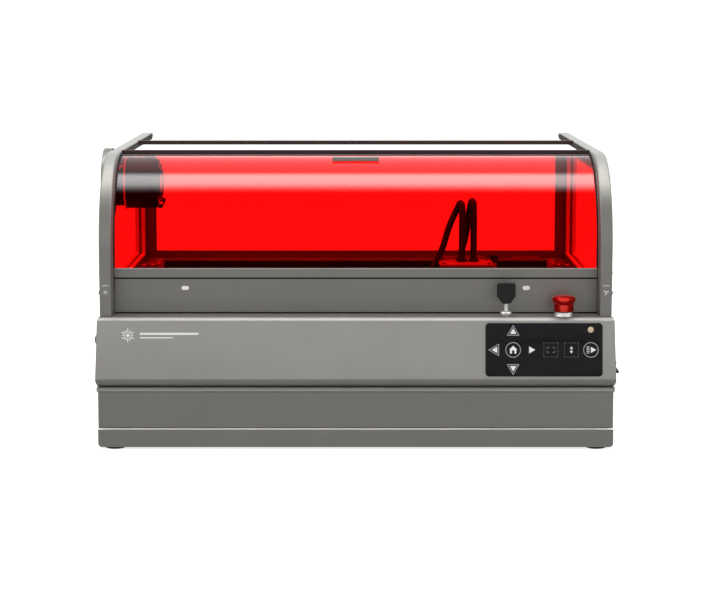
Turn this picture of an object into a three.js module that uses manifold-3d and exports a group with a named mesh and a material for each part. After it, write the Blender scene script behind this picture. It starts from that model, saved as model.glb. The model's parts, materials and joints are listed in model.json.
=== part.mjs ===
// Desktop laser cutter: a drawer base, a sheet-metal housing with a control panel, a curved tinted
// lid between two arched cheeks, and an X-Y gantry with a focusing laser head inside.
// Units are millimetres. +X is right seen from the front, the front faces -Y and +Z is up.
// The origin is the centre of the footprint, on the table.
import * as THREE from "three";
import { mergeVertices } from "three/addons/utils/BufferGeometryUtils.js";
import Module from "manifold-3d";

const wasm = await Module();
wasm.setup();

// ---------------------------------------------------------------- driving dimensions

const DEPTH = 620;
const FRONT = -DEPTH / 2;
const BACK = DEPTH / 2;
const GAP = 0.3;

const FOOT = { radius: 13, height: 2.5, x: 301.5, inset: 16 };

const BASE = {
  halfWidth: 322,
  bottom: FOOT.height + GAP,
  top: 73,
  wall: 2.5,
  kerbTop: 27,
  bevel: 2,
  lipHalfWidth: 323,
  lipTop: 78.5,
};

const DRAWER = {
  length: 424,
  halfWidth: 298,
  bottom: 29,
  top: 66,
  wall: 1.6,
  frontSetback: 3.3,
  sheet: 2.2,
};

const RUNNER = { bottom: 38, top: 52, inner: 304, grooveDepth: 6, grooveHeight: 7 };

const HOUSING = {
  bottom: 79,
  bulge: 89,
  shoulder: 161.5,
  top: 165,
  bulgeHalfWidth: 324.5,
  shoulderHalfWidth: 322.5,
  lean: 10,
  shoulderRun: 4.2,
  wall: 3,
};

const CHAMBER = { halfWidth: 268, front: FRONT + 53, back: FRONT + 497, floor: 82 };

const BAY = { front: FRONT + 500, back: BACK - 6 };
const BAY_FLOOR = HOUSING.bottom + 5;
const INLET = { left: -276, right: -246, low: 96, high: 120 };
const VENTS = { count: 9, first: 90, pitch: 16, width: 7, low: 100, high: 140 };

const CHEEK = {
  outer: 320,
  inner: 304.6,
  front: FRONT + 20,
  back: FRONT + 612,
  bottom: HOUSING.top + GAP,
  springing: 250,
  top: 362.8,
  rearRadius: 28,
};

// Half the width of the covers that fit between the cheeks.
const COVER_HALF_WIDTH = CHEEK.inner - 0.5;

const SIDE_OPENING = { front: FRONT + 48, back: FRONT + 462, sill: 192, radius: 94, rearRadius: 16 };

const SHEET = 3.2;

const BLOWER = {
  y: FRONT + 199,
  z: 318,
  radius: 33.2,
  spigotRadius: 30,
  bore: 26,
  inner: 261.6,
  intake: 18,
  cavity: 30.6,
};
const EXHAUST_COLLAR = { radius: 46, bore: 40, outer: 332, thickness: 3 };

const LID = {
  front: FRONT + 50.5,
  railBottom: 209.8,
  railTop: 222.5,
  springing: 250,
  radius: 108,
  back: FRONT + 582,
  halfWidth: CHEEK.inner - 0.4,
  hingeY: FRONT + 588,
  hingeZ: 354,
  ribTop: 364,
  ribDepth: 8,
  frontRibY: FRONT + 160,
  rearRibY: FRONT + 367,
};

const REAR_FRAME = {
  y: FRONT + 478,
  depth: 8,
  outer: CHEEK.inner - GAP,
  inner: 290.7,
  bottom: 184.7,
  sill: 196.5,
  head: 343,
  top: 353,
};

const PILL_LENS = { x: 215, z: 197, halfWidth: 4.8, halfHeight: 3.2 };

const BED = {
  halfWidth: 262,
  front: FRONT + 60,
  back: FRONT + 492,
  low: 102,
  high: 120,
  wall: 6,
  slats: 17,
  slatPitch: 30,
  legWidth: 12,
};

const RAIL = {
  inner: 278,
  outer: 298,
  bottom: HOUSING.top + GAP,
  top: 188,
  front: FRONT + 60,
  back: FRONT + 458,
};

const GANTRY = { y: FRONT + 290, z: 187, beamHalfLength: 262, beamHalfDepth: 10, below: 17, above: 18 };

const SLOT = { halfWidth: 3, depth: 3 };

const MOTOR = { half: 21, bevel: 4, yLength: 42, xLength: 34 };

const X_PULLEY = { x: 238, radius: 6 };

const DRIVE_SHAFT = {
  y: FRONT + 470,
  z: 177.5,
  radius: 4,
  halfLength: 294,
  pulleyRadius: 6,
  pulleyInner: 267.6,
  pulleyOuter: 274.4,
};

const CARRIAGE = { x: 148, halfWidth: 28, plateFront: -24, plateBack: -18.3 };

const HEAD = {
  halfWidth: 34,
  front: -98,
  back: -25,
  bottom: -27,
  top: 18.5,
  nozzleTip: -37,
  lugX: 40,
  lugY: -33,
  fins: 9,
};

const CABLE_RADIUS = 4;

const PANEL = { x: 234.3, z: 125.4, width: 145.6, height: 66.5, corner: 4.6, proud: 0.3, thickness: 1.2 };

const KEYPAD_OPENING = { halfWidth: 70.8, halfHeight: 31.6 };
const KEY_TRAVEL_ROOM = 1.6;
const ARROW_RADIUS = 9.1;
const ROUND_KEY_RADIUS = 9.7;
const SQUARE_KEY_HALF = 9.5;
const PLAIN_ARROW_RADIUS = 5.4;

// Each key: centre on the machine's X and Z, kind and, for an arrow, the way that it points.
const PANEL_KEYS = [
  { name: "panel_key_up", x: 195.8, z: 147.3, kind: "arrow", radius: ARROW_RADIUS, turn: Math.PI / 2 },
  { name: "panel_key_down", x: 195.8, z: 103.2, kind: "arrow", radius: ARROW_RADIUS, turn: -Math.PI / 2 },
  { name: "panel_key_left", x: 173.7, z: 125.3, kind: "arrow", radius: ARROW_RADIUS, turn: Math.PI },
  { name: "panel_key_right", x: 218.2, z: 125.3, kind: "arrow", radius: PLAIN_ARROW_RADIUS, turn: 0 },
  { name: "panel_key_home", x: 195.8, z: 125.3, kind: "round" },
  { name: "panel_key_frame", x: 242.7, z: 125.3, kind: "square" },
  { name: "panel_key_height", x: 268.2, z: 125.3, kind: "square" },
  { name: "panel_key_start", x: 292.5, z: 125.3, kind: "round" },
];

const LOCK = { x: 188, y: FRONT + 24, flangeRadius: 7.3, barrelRadius: 5, bore: 3 };
const ESTOP = {
  x: 260,
  y: FRONT + 24,
  holeRadius: 8.4,
  barrelRadius: 8,
  collarRadius: 11.2,
  skirtRadius: 12.4,
  headRadius: 14.7,
  stemRadius: 4,
};
const ROCKER = { x: 322.5, y: FRONT + 22, z: 101, halfDepth: 6, halfHeight: 8 };
const AIR_PORT = { y: FRONT + 26, z: 135, radius: 7 };
const SLIDER = { y: FRONT + 33, z: 193.5, slotHalfLength: 7, slotHalfHeight: 2.4, slotDepth: 3 };

// ---------------------------------------------------------------- finishes

const FINISH = {
  greyPaint: { color: 0x77756f, roughness: 0.5, metalness: 0.35 },
  darkGrey: { color: 0x4a4a48, roughness: 0.55, metalness: 0.3 },
  blackPaint: { color: 0x17181a, roughness: 0.55, metalness: 0.2 },
  blackPlastic: { color: 0x242424, roughness: 0.5, metalness: 0 },
  rubber: { color: 0x1c1c1c, roughness: 0.9, metalness: 0 },
  tintedSheet: { color: 0xf50a0a, roughness: 0.08, metalness: 0, transparent: true, opacity: 0.5 },
  aluminium: { color: 0xb9bbbd, roughness: 0.35, metalness: 0.9 },
  steel: { color: 0xd8d8d6, roughness: 0.22, metalness: 0.95 },
  redPlastic: { color: 0xd3120f, roughness: 0.25, metalness: 0.1 },
  cable: { color: 0x101010, roughness: 0.6, metalness: 0 },
  board: { color: 0x1c5a38, roughness: 0.6, metalness: 0.1 },
};

// ---------------------------------------------------------------- shape helpers

// Prisms are drawn in a plane and then turned so that they run along X or along Y.
const YZ_ALONG_X = new THREE.Matrix4().makeBasis(
  new THREE.Vector3(0, 1, 0),
  new THREE.Vector3(0, 0, 1),
  new THREE.Vector3(1, 0, 0),
);
const XZ_ALONG_Y = new THREE.Matrix4().makeBasis(
  new THREE.Vector3(1, 0, 0),
  new THREE.Vector3(0, 0, 1),
  new THREE.Vector3(0, -1, 0),
);

function block(x0, x1, y0, y1, z0, z1) {
  const geometry = new THREE.BoxGeometry(x1 - x0, y1 - y0, z1 - z0);
  return geometry.translate((x0 + x1) / 2, (y0 + y1) / 2, (z0 + z1) / 2);
}

// A shape drawn in (Y, Z) for axis "x", in (X, Z) for axis "y" or in (X, Y) for axis "z".
function prism(axis, shape, from, to, curveSegments = 6) {
  const settings = { depth: to - from, bevelEnabled: false, curveSegments };
  const geometry = new THREE.ExtrudeGeometry(shape, settings);
  if (axis === "y") {
    return geometry.translate(0, 0, -to).applyMatrix4(XZ_ALONG_Y);
  }
  geometry.translate(0, 0, from);
  return axis === "x" ? geometry.applyMatrix4(YZ_ALONG_X) : geometry;
}

// A turned piece: its profile holds [radius, distance along the axis] pairs.
function turned(axis, profile, segments = 20) {
  const points = profile.map(([radius, along]) => new THREE.Vector2(radius, along));
  const geometry = new THREE.LatheGeometry(points, segments);
  if (axis === "z") {
    geometry.rotateX(Math.PI / 2);
  }
  if (axis === "x") {
    geometry.rotateZ(-Math.PI / 2);
  }
  return geometry;
}

function disc(axis, radius, from, to, segments = 20) {
  const profile = [
    [0, from],
    [radius, from],
    [radius, to],
    [0, to],
  ];
  return turned(axis, profile, segments);
}

function polygon(points) {
  return new THREE.Shape(points.map(([u, v]) => new THREE.Vector2(u, v)));
}

function roundedRectangle(u0, u1, v0, v1, radius) {
  const shape = new THREE.Shape();
  shape.moveTo(u0 + radius, v0);
  shape.absarc(u1 - radius, v0 + radius, radius, -Math.PI / 2, 0);
  shape.absarc(u1 - radius, v1 - radius, radius, 0, Math.PI / 2);
  shape.absarc(u0 + radius, v1 - radius, radius, Math.PI / 2, Math.PI);
  shape.absarc(u0 + radius, v0 + radius, radius, Math.PI, 1.5 * Math.PI);
  return shape;
}

function triangle(radius, turn) {
  const corners = [0, 1, 2].map((corner) => {
    const angle = turn + (corner * 2 * Math.PI) / 3;
    return [radius * Math.cos(angle), radius * Math.sin(angle)];
  });
  return polygon(corners);
}

function sweep(points, radius, steps) {
  const path = new THREE.CatmullRomCurve3(points.map(([x, y, z]) => new THREE.Vector3(x, y, z)));
  const section = new THREE.Shape().absarc(0, 0, radius, 0, 2 * Math.PI);
  const settings = { steps, extrudePath: path, curveSegments: 5, bevelEnabled: false };
  return new THREE.ExtrudeGeometry(section, settings);
}

function toSolid(geometry) {
  const loose = geometry.index ? geometry.toNonIndexed() : geometry;
  const bare = new THREE.BufferGeometry().setAttribute("position", loose.getAttribute("position"));
  const merged = mergeVertices(bare, 1e-3);
  const vertProperties = new Float32Array(merged.attributes.position.array);
  const triVerts = new Uint32Array(merged.index.array);
  return new wasm.Manifold(new wasm.Mesh({ numProp: 3, vertProperties, triVerts }));
}

function toGeometry(solid) {
  const { vertProperties, triVerts } = solid.getMesh();
  const geometry = new THREE.BufferGeometry();
  geometry.setAttribute("position", new THREE.BufferAttribute(new Float32Array(vertProperties), 3));
  geometry.setIndex(new THREE.BufferAttribute(new Uint32Array(triVerts), 1));
  return geometry;
}

function join(...geometries) {
  const [first, ...others] = geometries.map(toSolid);
  return toGeometry(others.reduce((whole, next) => whole.add(next), first));
}

function cut(geometry, ...tools) {
  return toGeometry(tools.map(toSolid).reduce((left, tool) => left.subtract(tool), toSolid(geometry)));
}

function overlapOf(a, b) {
  return toGeometry(toSolid(a).intersect(toSolid(b)));
}

function mirroredInX(geometry) {
  const copy = geometry.clone().applyMatrix4(new THREE.Matrix4().makeScale(-1, 1, 1));
  const faces = copy.index.array;
  for (let i = 0; i < faces.length; i += 3) {
    [faces[i + 1], faces[i + 2]] = [faces[i + 2], faces[i + 1]];
  }
  return copy;
}

// The span from a to b away from the middle, on the side -1 or 1, lowest first.
function spanOn(side, a, b) {
  return side > 0 ? [a, b] : [-b, -a];
}

function range(count) {
  return Array.from({ length: count }, (_, index) => index);
}

function addPiece(group, name, geometry, finish, position = [0, 0, 0]) {
  const mesh = new THREE.Mesh(geometry, new THREE.MeshStandardMaterial({ ...finish, flatShading: true }));
  mesh.name = name;
  mesh.position.set(...position);
  group.add(mesh);
}

function addGroup(parent, position = [0, 0, 0]) {
  const group = new THREE.Group();
  group.position.set(...position);
  parent.add(group);
  return group;
}

// ---------------------------------------------------------------- base and drawer

function footShape() {
  const { radius, height } = FOOT;
  return turned("z", [
    [0, 0],
    [radius - 1, 0],
    [radius, 0.8],
    [radius, height],
    [0, height],
  ]);
}

// A channel on the base's side wall, grooved towards the drawer.
function runnerShape(side) {
  const { bottom, top, inner, grooveDepth, grooveHeight } = RUNNER;
  const outer = BASE.halfWidth - BASE.wall + 0.2;
  const middle = (bottom + top) / 2;
  const front = FRONT + 12;
  const back = FRONT + 12 + DRAWER.length;
  const groove = spanOn(side, inner - 1, inner + grooveDepth);
  return cut(
    block(...spanOn(side, inner, outer), front, back, bottom, top),
    block(...groove, front - 1, back - 6, middle - grooveHeight / 2, middle + grooveHeight / 2),
  );
}

function baseHousing() {
  const { halfWidth, bottom, top, wall, kerbTop, bevel, lipHalfWidth, lipTop } = BASE;
  const cornerRadius = 4.5;
  const section = roundedRectangle(-halfWidth, halfWidth, bottom, top + 1, cornerRadius);
  const skirt = prism("y", section, FRONT + 1, BACK - 1, 3);
  const lip = block(-lipHalfWidth, lipHalfWidth, FRONT + 0.2, BACK, top, lipTop);
  const drawerMouth = block(-halfWidth - 1, halfWidth + 1, FRONT, FRONT + 6.3, kerbTop, top);
  const room = halfWidth - wall;
  const hollow = block(-room, room, FRONT + 1 + wall, BACK - 1 - wall, bottom + wall, top + 2);
  const topOpening = block(-300, 300, FRONT + 30, BACK - 30, top, lipTop + 1);
  const kerbSlope = prism(
    "x",
    polygon([
      [FRONT, kerbTop - bevel],
      [FRONT + 1, kerbTop - bevel],
      [FRONT + 1 + wall, kerbTop + 0.1],
      [FRONT, kerbTop + 0.1],
    ]),
    -halfWidth - 1,
    halfWidth + 1,
  );
  const shell = cut(join(skirt, lip), drawerMouth, hollow, topOpening, kerbSlope);
  return join(shell, runnerShape(-1), runnerShape(1));
}

function drawerFront() {
  const seam = 0.4;
  const front = FRONT + DRAWER.frontSetback;
  const reach = BASE.halfWidth - seam;
  return block(-reach, reach, front, front + DRAWER.sheet, BASE.kerbTop + seam, BASE.top - seam);
}

function drawerTray() {
  const { length, halfWidth, bottom, top, wall } = DRAWER;
  const front = FRONT + 6.1;
  const back = front + length;
  const middle = (RUNNER.bottom + RUNNER.top) / 2;
  const finReach = RUNNER.inner + RUNNER.grooveDepth - 0.6;
  const finHalfHeight = RUNNER.grooveHeight / 2 - 0.5;
  const tray = cut(
    block(-halfWidth, halfWidth, front, back, bottom, top),
    block(-halfWidth + wall, halfWidth - wall, front + wall, back - wall, bottom + wall, top + 1),
  );
  const fins = [-1, 1].map((side) => {
    const reach = spanOn(side, halfWidth - 1, finReach);
    return block(...reach, FRONT + 14, back - 2, middle - finHalfHeight, middle + finHalfHeight);
  });
  return join(tray, ...fins);
}

// ---------------------------------------------------------------- main housing

function housingSideOutline(inset) {
  const { bottom, bulge, shoulder, top, lean, shoulderRun } = HOUSING;
  const shape = new THREE.Shape();
  shape.moveTo(FRONT + 4.5 + inset, bottom + inset);
  shape.quadraticCurveTo(FRONT + inset, bottom + 3 + inset, FRONT + inset, bulge);
  shape.lineTo(FRONT + lean + inset, shoulder - inset);
  shape.lineTo(FRONT + lean + shoulderRun + inset, top - inset);
  shape.lineTo(BACK - 2 - inset, top - inset);
  shape.lineTo(BACK - 2 - inset, bottom + inset);
  return shape;
}

function housingFrontOutline() {
  const { bottom, bulge, shoulder, top, bulgeHalfWidth, shoulderHalfWidth } = HOUSING;
  const shape = new THREE.Shape();
  shape.moveTo(-bulgeHalfWidth + 4, bottom);
  shape.lineTo(bulgeHalfWidth - 4, bottom);
  shape.quadraticCurveTo(bulgeHalfWidth, bottom + 3, bulgeHalfWidth, bulge);
  shape.lineTo(shoulderHalfWidth, shoulder);
  shape.quadraticCurveTo(shoulderHalfWidth - 0.5, top, shoulderHalfWidth - 3.5, top);
  shape.lineTo(-shoulderHalfWidth + 3.5, top);
  shape.quadraticCurveTo(-shoulderHalfWidth + 0.5, top, -shoulderHalfWidth, shoulder);
  shape.lineTo(-bulgeHalfWidth, bulge);
  shape.quadraticCurveTo(-bulgeHalfWidth, bottom + 3, -bulgeHalfWidth + 4, bottom);
  return shape;
}

// The hollow that runs round the chamber, for the wiring, the panel electronics and the rear bay.
function serviceHollow() {
  const { wall, shoulderHalfWidth } = HOUSING;
  const reach = shoulderHalfWidth - wall;
  const inside = prism("x", housingSideOutline(wall), -reach, reach, 5);
  const chamberWalls = block(
    -CHAMBER.halfWidth - wall,
    CHAMBER.halfWidth + wall,
    CHAMBER.front - wall,
    CHAMBER.back + wall,
    HOUSING.bottom - 1,
    HOUSING.top + 1,
  );
  return cut(inside, chamberWalls);
}

function mainHousing() {
  const { bottom, top } = HOUSING;
  const { halfWidth, front, back, floor } = CHAMBER;
  const outside = overlapOf(
    prism("x", housingSideOutline(0), -330, 330),
    prism("y", housingFrontOutline(), FRONT - 5, BACK + 5),
  );
  const chamber = block(-halfWidth, halfWidth, front, back, floor, top + 1);
  const debrisOpening = block(-240, 240, FRONT + 85, FRONT + 465, bottom - 1, floor + 1);
  const bayOpening = block(-296, 296, BAY.front + 6, BAY.back - 6, top - 5, top + 1);
  const keypadOpening = block(
    PANEL.x - KEYPAD_OPENING.halfWidth,
    PANEL.x + KEYPAD_OPENING.halfWidth,
    FRONT - 1,
    FRONT + 20,
    PANEL.z - KEYPAD_OPENING.halfHeight,
    PANEL.z + KEYPAD_OPENING.halfHeight,
  );
  const lockHole = disc("z", LOCK.barrelRadius + 0.4, top - 5, top + 1).translate(LOCK.x, LOCK.y, 0);
  const estopHole = disc("z", ESTOP.holeRadius, top - 5, top + 1).translate(ESTOP.x, ESTOP.y, 0);
  const rockerHole = block(
    318,
    326,
    ROCKER.y - ROCKER.halfDepth - 0.5,
    ROCKER.y + ROCKER.halfDepth + 0.5,
    ROCKER.z - ROCKER.halfHeight - 1.2,
    ROCKER.z + ROCKER.halfHeight + 1.2,
  );
  const airHole = disc("x", 5, -330, -316).translate(0, AIR_PORT.y, AIR_PORT.z);
  const inletHole = block(INLET.left, INLET.right, BACK - 8, BACK + 1, INLET.low, INLET.high);
  const vents = range(VENTS.count).map((slot) => {
    const left = VENTS.first + VENTS.pitch * slot;
    return block(left, left + VENTS.width, BACK - 8, BACK + 1, VENTS.low, VENTS.high);
  });
  return cut(
    outside,
    chamber,
    serviceHollow(),
    debrisOpening,
    bayOpening,
    keypadOpening,
    lockHole,
    estopHole,
    rockerHole,
    airHole,
    inletHole,
    ...vents,
  );
}

function rearDeck() {
  const low = HOUSING.top + GAP;
  const high = 182.6;
  const wall = 3;
  const front = FRONT + 489;
  const back = CHEEK.back - 4;
  const shell = cut(
    block(-COVER_HALF_WIDTH, COVER_HALF_WIDTH, front, back, low, high),
    block(-COVER_HALF_WIDTH + wall, COVER_HALF_WIDTH - wall, front + wall, back - wall, low - 1, high - 2.5),
  );
  const slots = range(14).map((slot) => {
    const left = -180 + 26 * slot;
    return block(left, left + 20, front + 41, front + 45, high - 5, high + 1);
  });
  return cut(shell, ...slots);
}

function upperFrontPanel() {
  const front = FRONT + 50;
  const bottom = HOUSING.top + 1.6;
  const top = 208.5;
  const sheet = 2.5;
  const face = block(-COVER_HALF_WIDTH, COVER_HALF_WIDTH, front, front + sheet, bottom, top);
  const sill = block(-COVER_HALF_WIDTH, COVER_HALF_WIDTH, front + 2, front + 14, top - sheet, top);
  const { x, z, halfWidth, halfHeight } = PILL_LENS;
  const lensHoles = [-x, x].map((middle) => {
    const pill = roundedRectangle(
      middle - halfWidth,
      middle + halfWidth,
      z - halfHeight,
      z + halfHeight,
      halfHeight - 0.1,
    );
    return prism("y", pill, front - 1, front + 4, 3);
  });
  return cut(join(face, sill), ...lensHoles);
}

// ---------------------------------------------------------------- cheeks and windows

function cheekOutline() {
  const { front, back, bottom, springing, top, rearRadius } = CHEEK;
  const radius = top - springing;
  const shape = new THREE.Shape();
  shape.moveTo(front, bottom);
  shape.lineTo(back, bottom);
  shape.lineTo(back, top - rearRadius);
  shape.absarc(back - rearRadius, top - rearRadius, rearRadius, 0, Math.PI / 2);
  shape.absarc(front + radius, springing, radius, Math.PI / 2, Math.PI);
  return shape;
}

function sideOpeningOutline(inset) {
  const { front, back, sill, radius, rearRadius } = SIDE_OPENING;
  const low = sill + inset;
  const near = front + inset;
  const far = back - inset;
  const bend = radius - inset;
  const corner = rearRadius - inset;
  const springing = CHEEK.springing;
  const high = springing + bend;
  const shape = new THREE.Shape();
  shape.moveTo(near, low);
  shape.lineTo(far, low);
  shape.absarc(far - corner, high - corner, corner, 0, Math.PI / 2);
  shape.absarc(near + bend, springing, bend, Math.PI / 2, Math.PI);
  return shape;
}

function sliderSlot(side) {
  const { y, z, slotHalfLength, slotHalfHeight, slotDepth } = SLIDER;
  const depth = spanOn(side, CHEEK.outer - slotDepth, CHEEK.outer + 1);
  return block(...depth, y - slotHalfLength, y + slotHalfLength, z - slotHalfHeight, z + slotHalfHeight);
}

function hingeBore(side) {
  const depth = spanOn(side, CHEEK.inner - 1, CHEEK.inner + 5);
  return disc("x", 2.6, ...depth, 16).translate(0, LID.hingeY, LID.hingeZ);
}

function cheek(side) {
  const plate = prism("x", cheekOutline(), ...spanOn(side, CHEEK.inner, CHEEK.outer), 8);
  const opening = prism("x", sideOpeningOutline(0), -CHEEK.outer - 1, CHEEK.outer + 1, 8);
  return cut(plate, opening, sliderSlot(side), hingeBore(side));
}

function spigotRoom() {
  const room = disc("x", BLOWER.spigotRadius + 0.6, -CHEEK.outer - 1, -CHEEK.inner + 1, 26);
  return room.translate(0, BLOWER.y, BLOWER.z);
}

function sideWindow(side) {
  const middle = (side * (CHEEK.inner + CHEEK.outer)) / 2;
  return prism("x", sideOpeningOutline(GAP + 0.1), middle - SHEET / 2, middle + SHEET / 2, 8);
}

function rearFrame() {
  const { y, depth, outer, inner, bottom, sill, head, top } = REAR_FRAME;
  return cut(
    block(-outer, outer, y, y + depth, bottom, top),
    block(-inner, inner, y - 1, y + depth + 1, sill, head),
  );
}

function rearWindow() {
  const { y, depth, inner, sill, head } = REAR_FRAME;
  const middle = y + depth / 2;
  const seam = 0.4;
  const reach = inner - seam;
  return block(-reach, reach, middle - SHEET / 2, middle + SHEET / 2, sill + seam, head - seam);
}

function rearCrossbar() {
  const reach = COVER_HALF_WIDTH;
  const front = FRONT + 533;
  const back = CHEEK.back - 6;
  const low = 333;
  const high = 348;
  const wall = 3;
  const top = 2.5;
  return cut(
    block(-reach, reach, front, back, low, high),
    block(-reach + wall, reach - wall, front + wall, back - wall, low - 1, high - top),
  );
}

// ---------------------------------------------------------------- controls

// The fascia's own frame: X right, -Y out of the face and Z up the face, centred on the panel.
function panelFrame(parent) {
  const slope = Math.atan2(HOUSING.lean, HOUSING.shoulder - HOUSING.bulge);
  const faceY = FRONT + (HOUSING.lean * (PANEL.z - HOUSING.bulge)) / (HOUSING.shoulder - HOUSING.bulge);
  const group = addGroup(parent, [PANEL.x, faceY, PANEL.z]);
  group.rotation.x = -slope;
  return { group, slope };
}

function keyOutline(key, grow) {
  if (key.kind === "arrow") {
    return triangle(key.radius + 2 * grow, key.turn);
  }
  if (key.kind === "round") {
    return new THREE.Shape().absarc(0, 0, ROUND_KEY_RADIUS + grow, 0, 2 * Math.PI);
  }
  const half = SQUARE_KEY_HALF + grow;
  return roundedRectangle(-half, half, -half, half, 1.5);
}

function keyCurveSegments(key) {
  return key.kind === "round" ? 10 : 2;
}

function keyOffset(key, slope) {
  return [key.x - PANEL.x, 0, (key.z - PANEL.z) / Math.cos(slope)];
}

function fascia(slope) {
  const { width, height, corner, proud, thickness } = PANEL;
  const outline = roundedRectangle(-width / 2, width / 2, -height / 2, height / 2, corner);
  const plate = prism("y", outline, -proud - thickness, -GAP, 4);
  const holes = PANEL_KEYS.map((key) =>
    prism("y", keyOutline(key, 0.3), -10, 10, keyCurveSegments(key)).translate(...keyOffset(key, slope)),
  );
  return cut(plate, ...holes);
}

function panelKey(key) {
  const face = -PANEL.proud - PANEL.thickness;
  return prism("y", keyOutline(key, 0), face, KEY_TRAVEL_ROOM, keyCurveSegments(key));
}

function keyLock() {
  const { flangeRadius, barrelRadius, bore } = LOCK;
  return turned("z", [
    [bore, -14],
    [barrelRadius, -14],
    [barrelRadius, GAP],
    [flangeRadius - 2.5, GAP],
    [flangeRadius - 0.6, 2],
    [flangeRadius, 4.4],
    [flangeRadius - 0.4, 6],
    [bore, 6],
    [bore, -14],
  ]);
}

function keyShape() {
  const shaft = disc("z", 2.7, -8, 18, 16);
  const head = new THREE.Shape();
  head.moveTo(-4.8, 16);
  head.lineTo(4.8, 16);
  head.lineTo(11.5, 25);
  head.lineTo(11.5, 38.9);
  head.absarc(9, 38.9, 2.5, 0, Math.PI / 2);
  head.absarc(-9, 38.9, 2.5, Math.PI / 2, Math.PI);
  head.lineTo(-11.5, 25);
  return join(shaft, prism("y", head, -3, 3, 4));
}

function estopCollar() {
  const { collarRadius, barrelRadius, stemRadius } = ESTOP;
  const bore = stemRadius + 0.5;
  return turned("z", [
    [bore, -12],
    [barrelRadius, -12],
    [barrelRadius, GAP],
    [collarRadius, GAP],
    [collarRadius, 6.2],
    [bore, 6.2],
    [bore, -12],
  ]);
}

function estopHead() {
  const { collarRadius, skirtRadius, headRadius, stemRadius } = ESTOP;
  return turned("z", [
    [0, -10],
    [stemRadius, -10],
    [stemRadius, 11],
    [collarRadius + 0.5, 11],
    [collarRadius + 0.5, 6],
    [skirtRadius, 6],
    [skirtRadius, 16],
    [headRadius, 20.5],
    [headRadius, 23.5],
    [headRadius - 1.2, 25.6],
    [headRadius - 3.2, 26.4],
    [0, 26.8],
  ]);
}

// The rocker's cross-section is a shallow V, tilted so that its lower half stands out at rest.
function powerRocker() {
  const { halfDepth, halfHeight } = ROCKER;
  const section = polygon([
    [-4, -halfHeight],
    [4.5, -halfHeight + 1],
    [0.6, 0.5],
    [-0.5, halfHeight],
    [-4, halfHeight],
  ]);
  return prism("y", section, -halfDepth, halfDepth);
}

function airPort() {
  const { radius } = AIR_PORT;
  return turned("x", [
    [0, -326.6],
    [radius - 1.5, -326.6],
    [radius, -325.6],
    [radius, -324],
    [4.6, -324],
    [4.6, -312],
    [0, -312],
  ]);
}

function sliderKnob(side) {
  const { slotHalfHeight, slotDepth } = SLIDER;
  const depth = spanOn(side, CHEEK.outer - slotDepth + 0.4, CHEEK.outer + 1.8);
  return block(...depth, -2.5, 2.5, -slotHalfHeight + 0.4, slotHalfHeight - 0.4);
}

// ---------------------------------------------------------------- lid

// Outline of the lid's sheet in (Y, Z), measured from the hinge axis.
function lidSheetOutline() {
  const { front, railBottom, springing, radius, back, hingeY, hingeZ } = LID;
  const near = front - hingeY;
  const centreY = near + radius;
  const centreZ = springing - hingeZ;
  const bottom = railBottom + 2.2 - hingeZ;
  const shape = new THREE.Shape();
  shape.moveTo(near, bottom);
  shape.lineTo(near + SHEET, bottom);
  shape.lineTo(near + SHEET, centreZ);
  shape.absarc(centreY, centreZ, radius - SHEET, Math.PI, Math.PI / 2, true);
  shape.lineTo(back - hingeY, centreZ + radius - SHEET);
  shape.lineTo(back - hingeY, centreZ + radius);
  shape.absarc(centreY, centreZ, radius, Math.PI / 2, Math.PI);
  return shape;
}

function lidWindow() {
  return prism("x", lidSheetOutline(), -LID.halfWidth, LID.halfWidth, 10);
}

function lidFrontRail() {
  const { front, railBottom, railTop, halfWidth, hingeY, hingeZ } = LID;
  const outer = front - GAP - 1.8 - hingeY;
  const inner = front + SHEET + GAP - hingeY;
  const bottom = railBottom - hingeZ;
  const top = railTop - hingeZ;
  return join(
    block(-halfWidth, halfWidth, outer, outer + 1.8, bottom, top),
    block(-halfWidth, halfWidth, outer, inner + 1.8, bottom, bottom + 1.8),
    block(-halfWidth, halfWidth, inner, inner + 1.8, bottom, top - 2),
  );
}

// The height of the sheet's outer face at a depth y.
function sheetTopAt(y) {
  const { front, springing, radius } = LID;
  const fromCentre = Math.min(0, y - (front + radius));
  return springing + Math.sqrt(radius ** 2 - fromCentre ** 2);
}

function lidRib(y) {
  const { ribTop, ribDepth, halfWidth, hingeY, hingeZ } = LID;
  const near = y - ribDepth / 2;
  const far = y + ribDepth / 2;
  const section = polygon([
    [near - hingeY, sheetTopAt(near) + 0.4 - hingeZ],
    [far - hingeY, sheetTopAt(far) + 0.4 - hingeZ],
    [far - hingeY, ribTop - hingeZ],
    [near - hingeY, ribTop - hingeZ],
  ]);
  return prism("x", section, -halfWidth, halfWidth);
}

// A barrel with a pin at each end, and a lip that carries the sheet's rear edge.
function lidHingeBar() {
  const { halfWidth, back, hingeY, hingeZ } = LID;
  const lipTop = LID.springing + LID.radius - SHEET - GAP - hingeZ;
  const lipFront = back - 16 - hingeY;
  return join(
    disc("x", 3.8, -halfWidth, halfWidth, 20),
    disc("x", 2.2, -halfWidth - 4.4, halfWidth + 4.4, 16),
    block(-halfWidth, halfWidth, lipFront, 0, lipTop - 1.8, lipTop),
  );
}

// ---------------------------------------------------------------- bed, rails and drives

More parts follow.
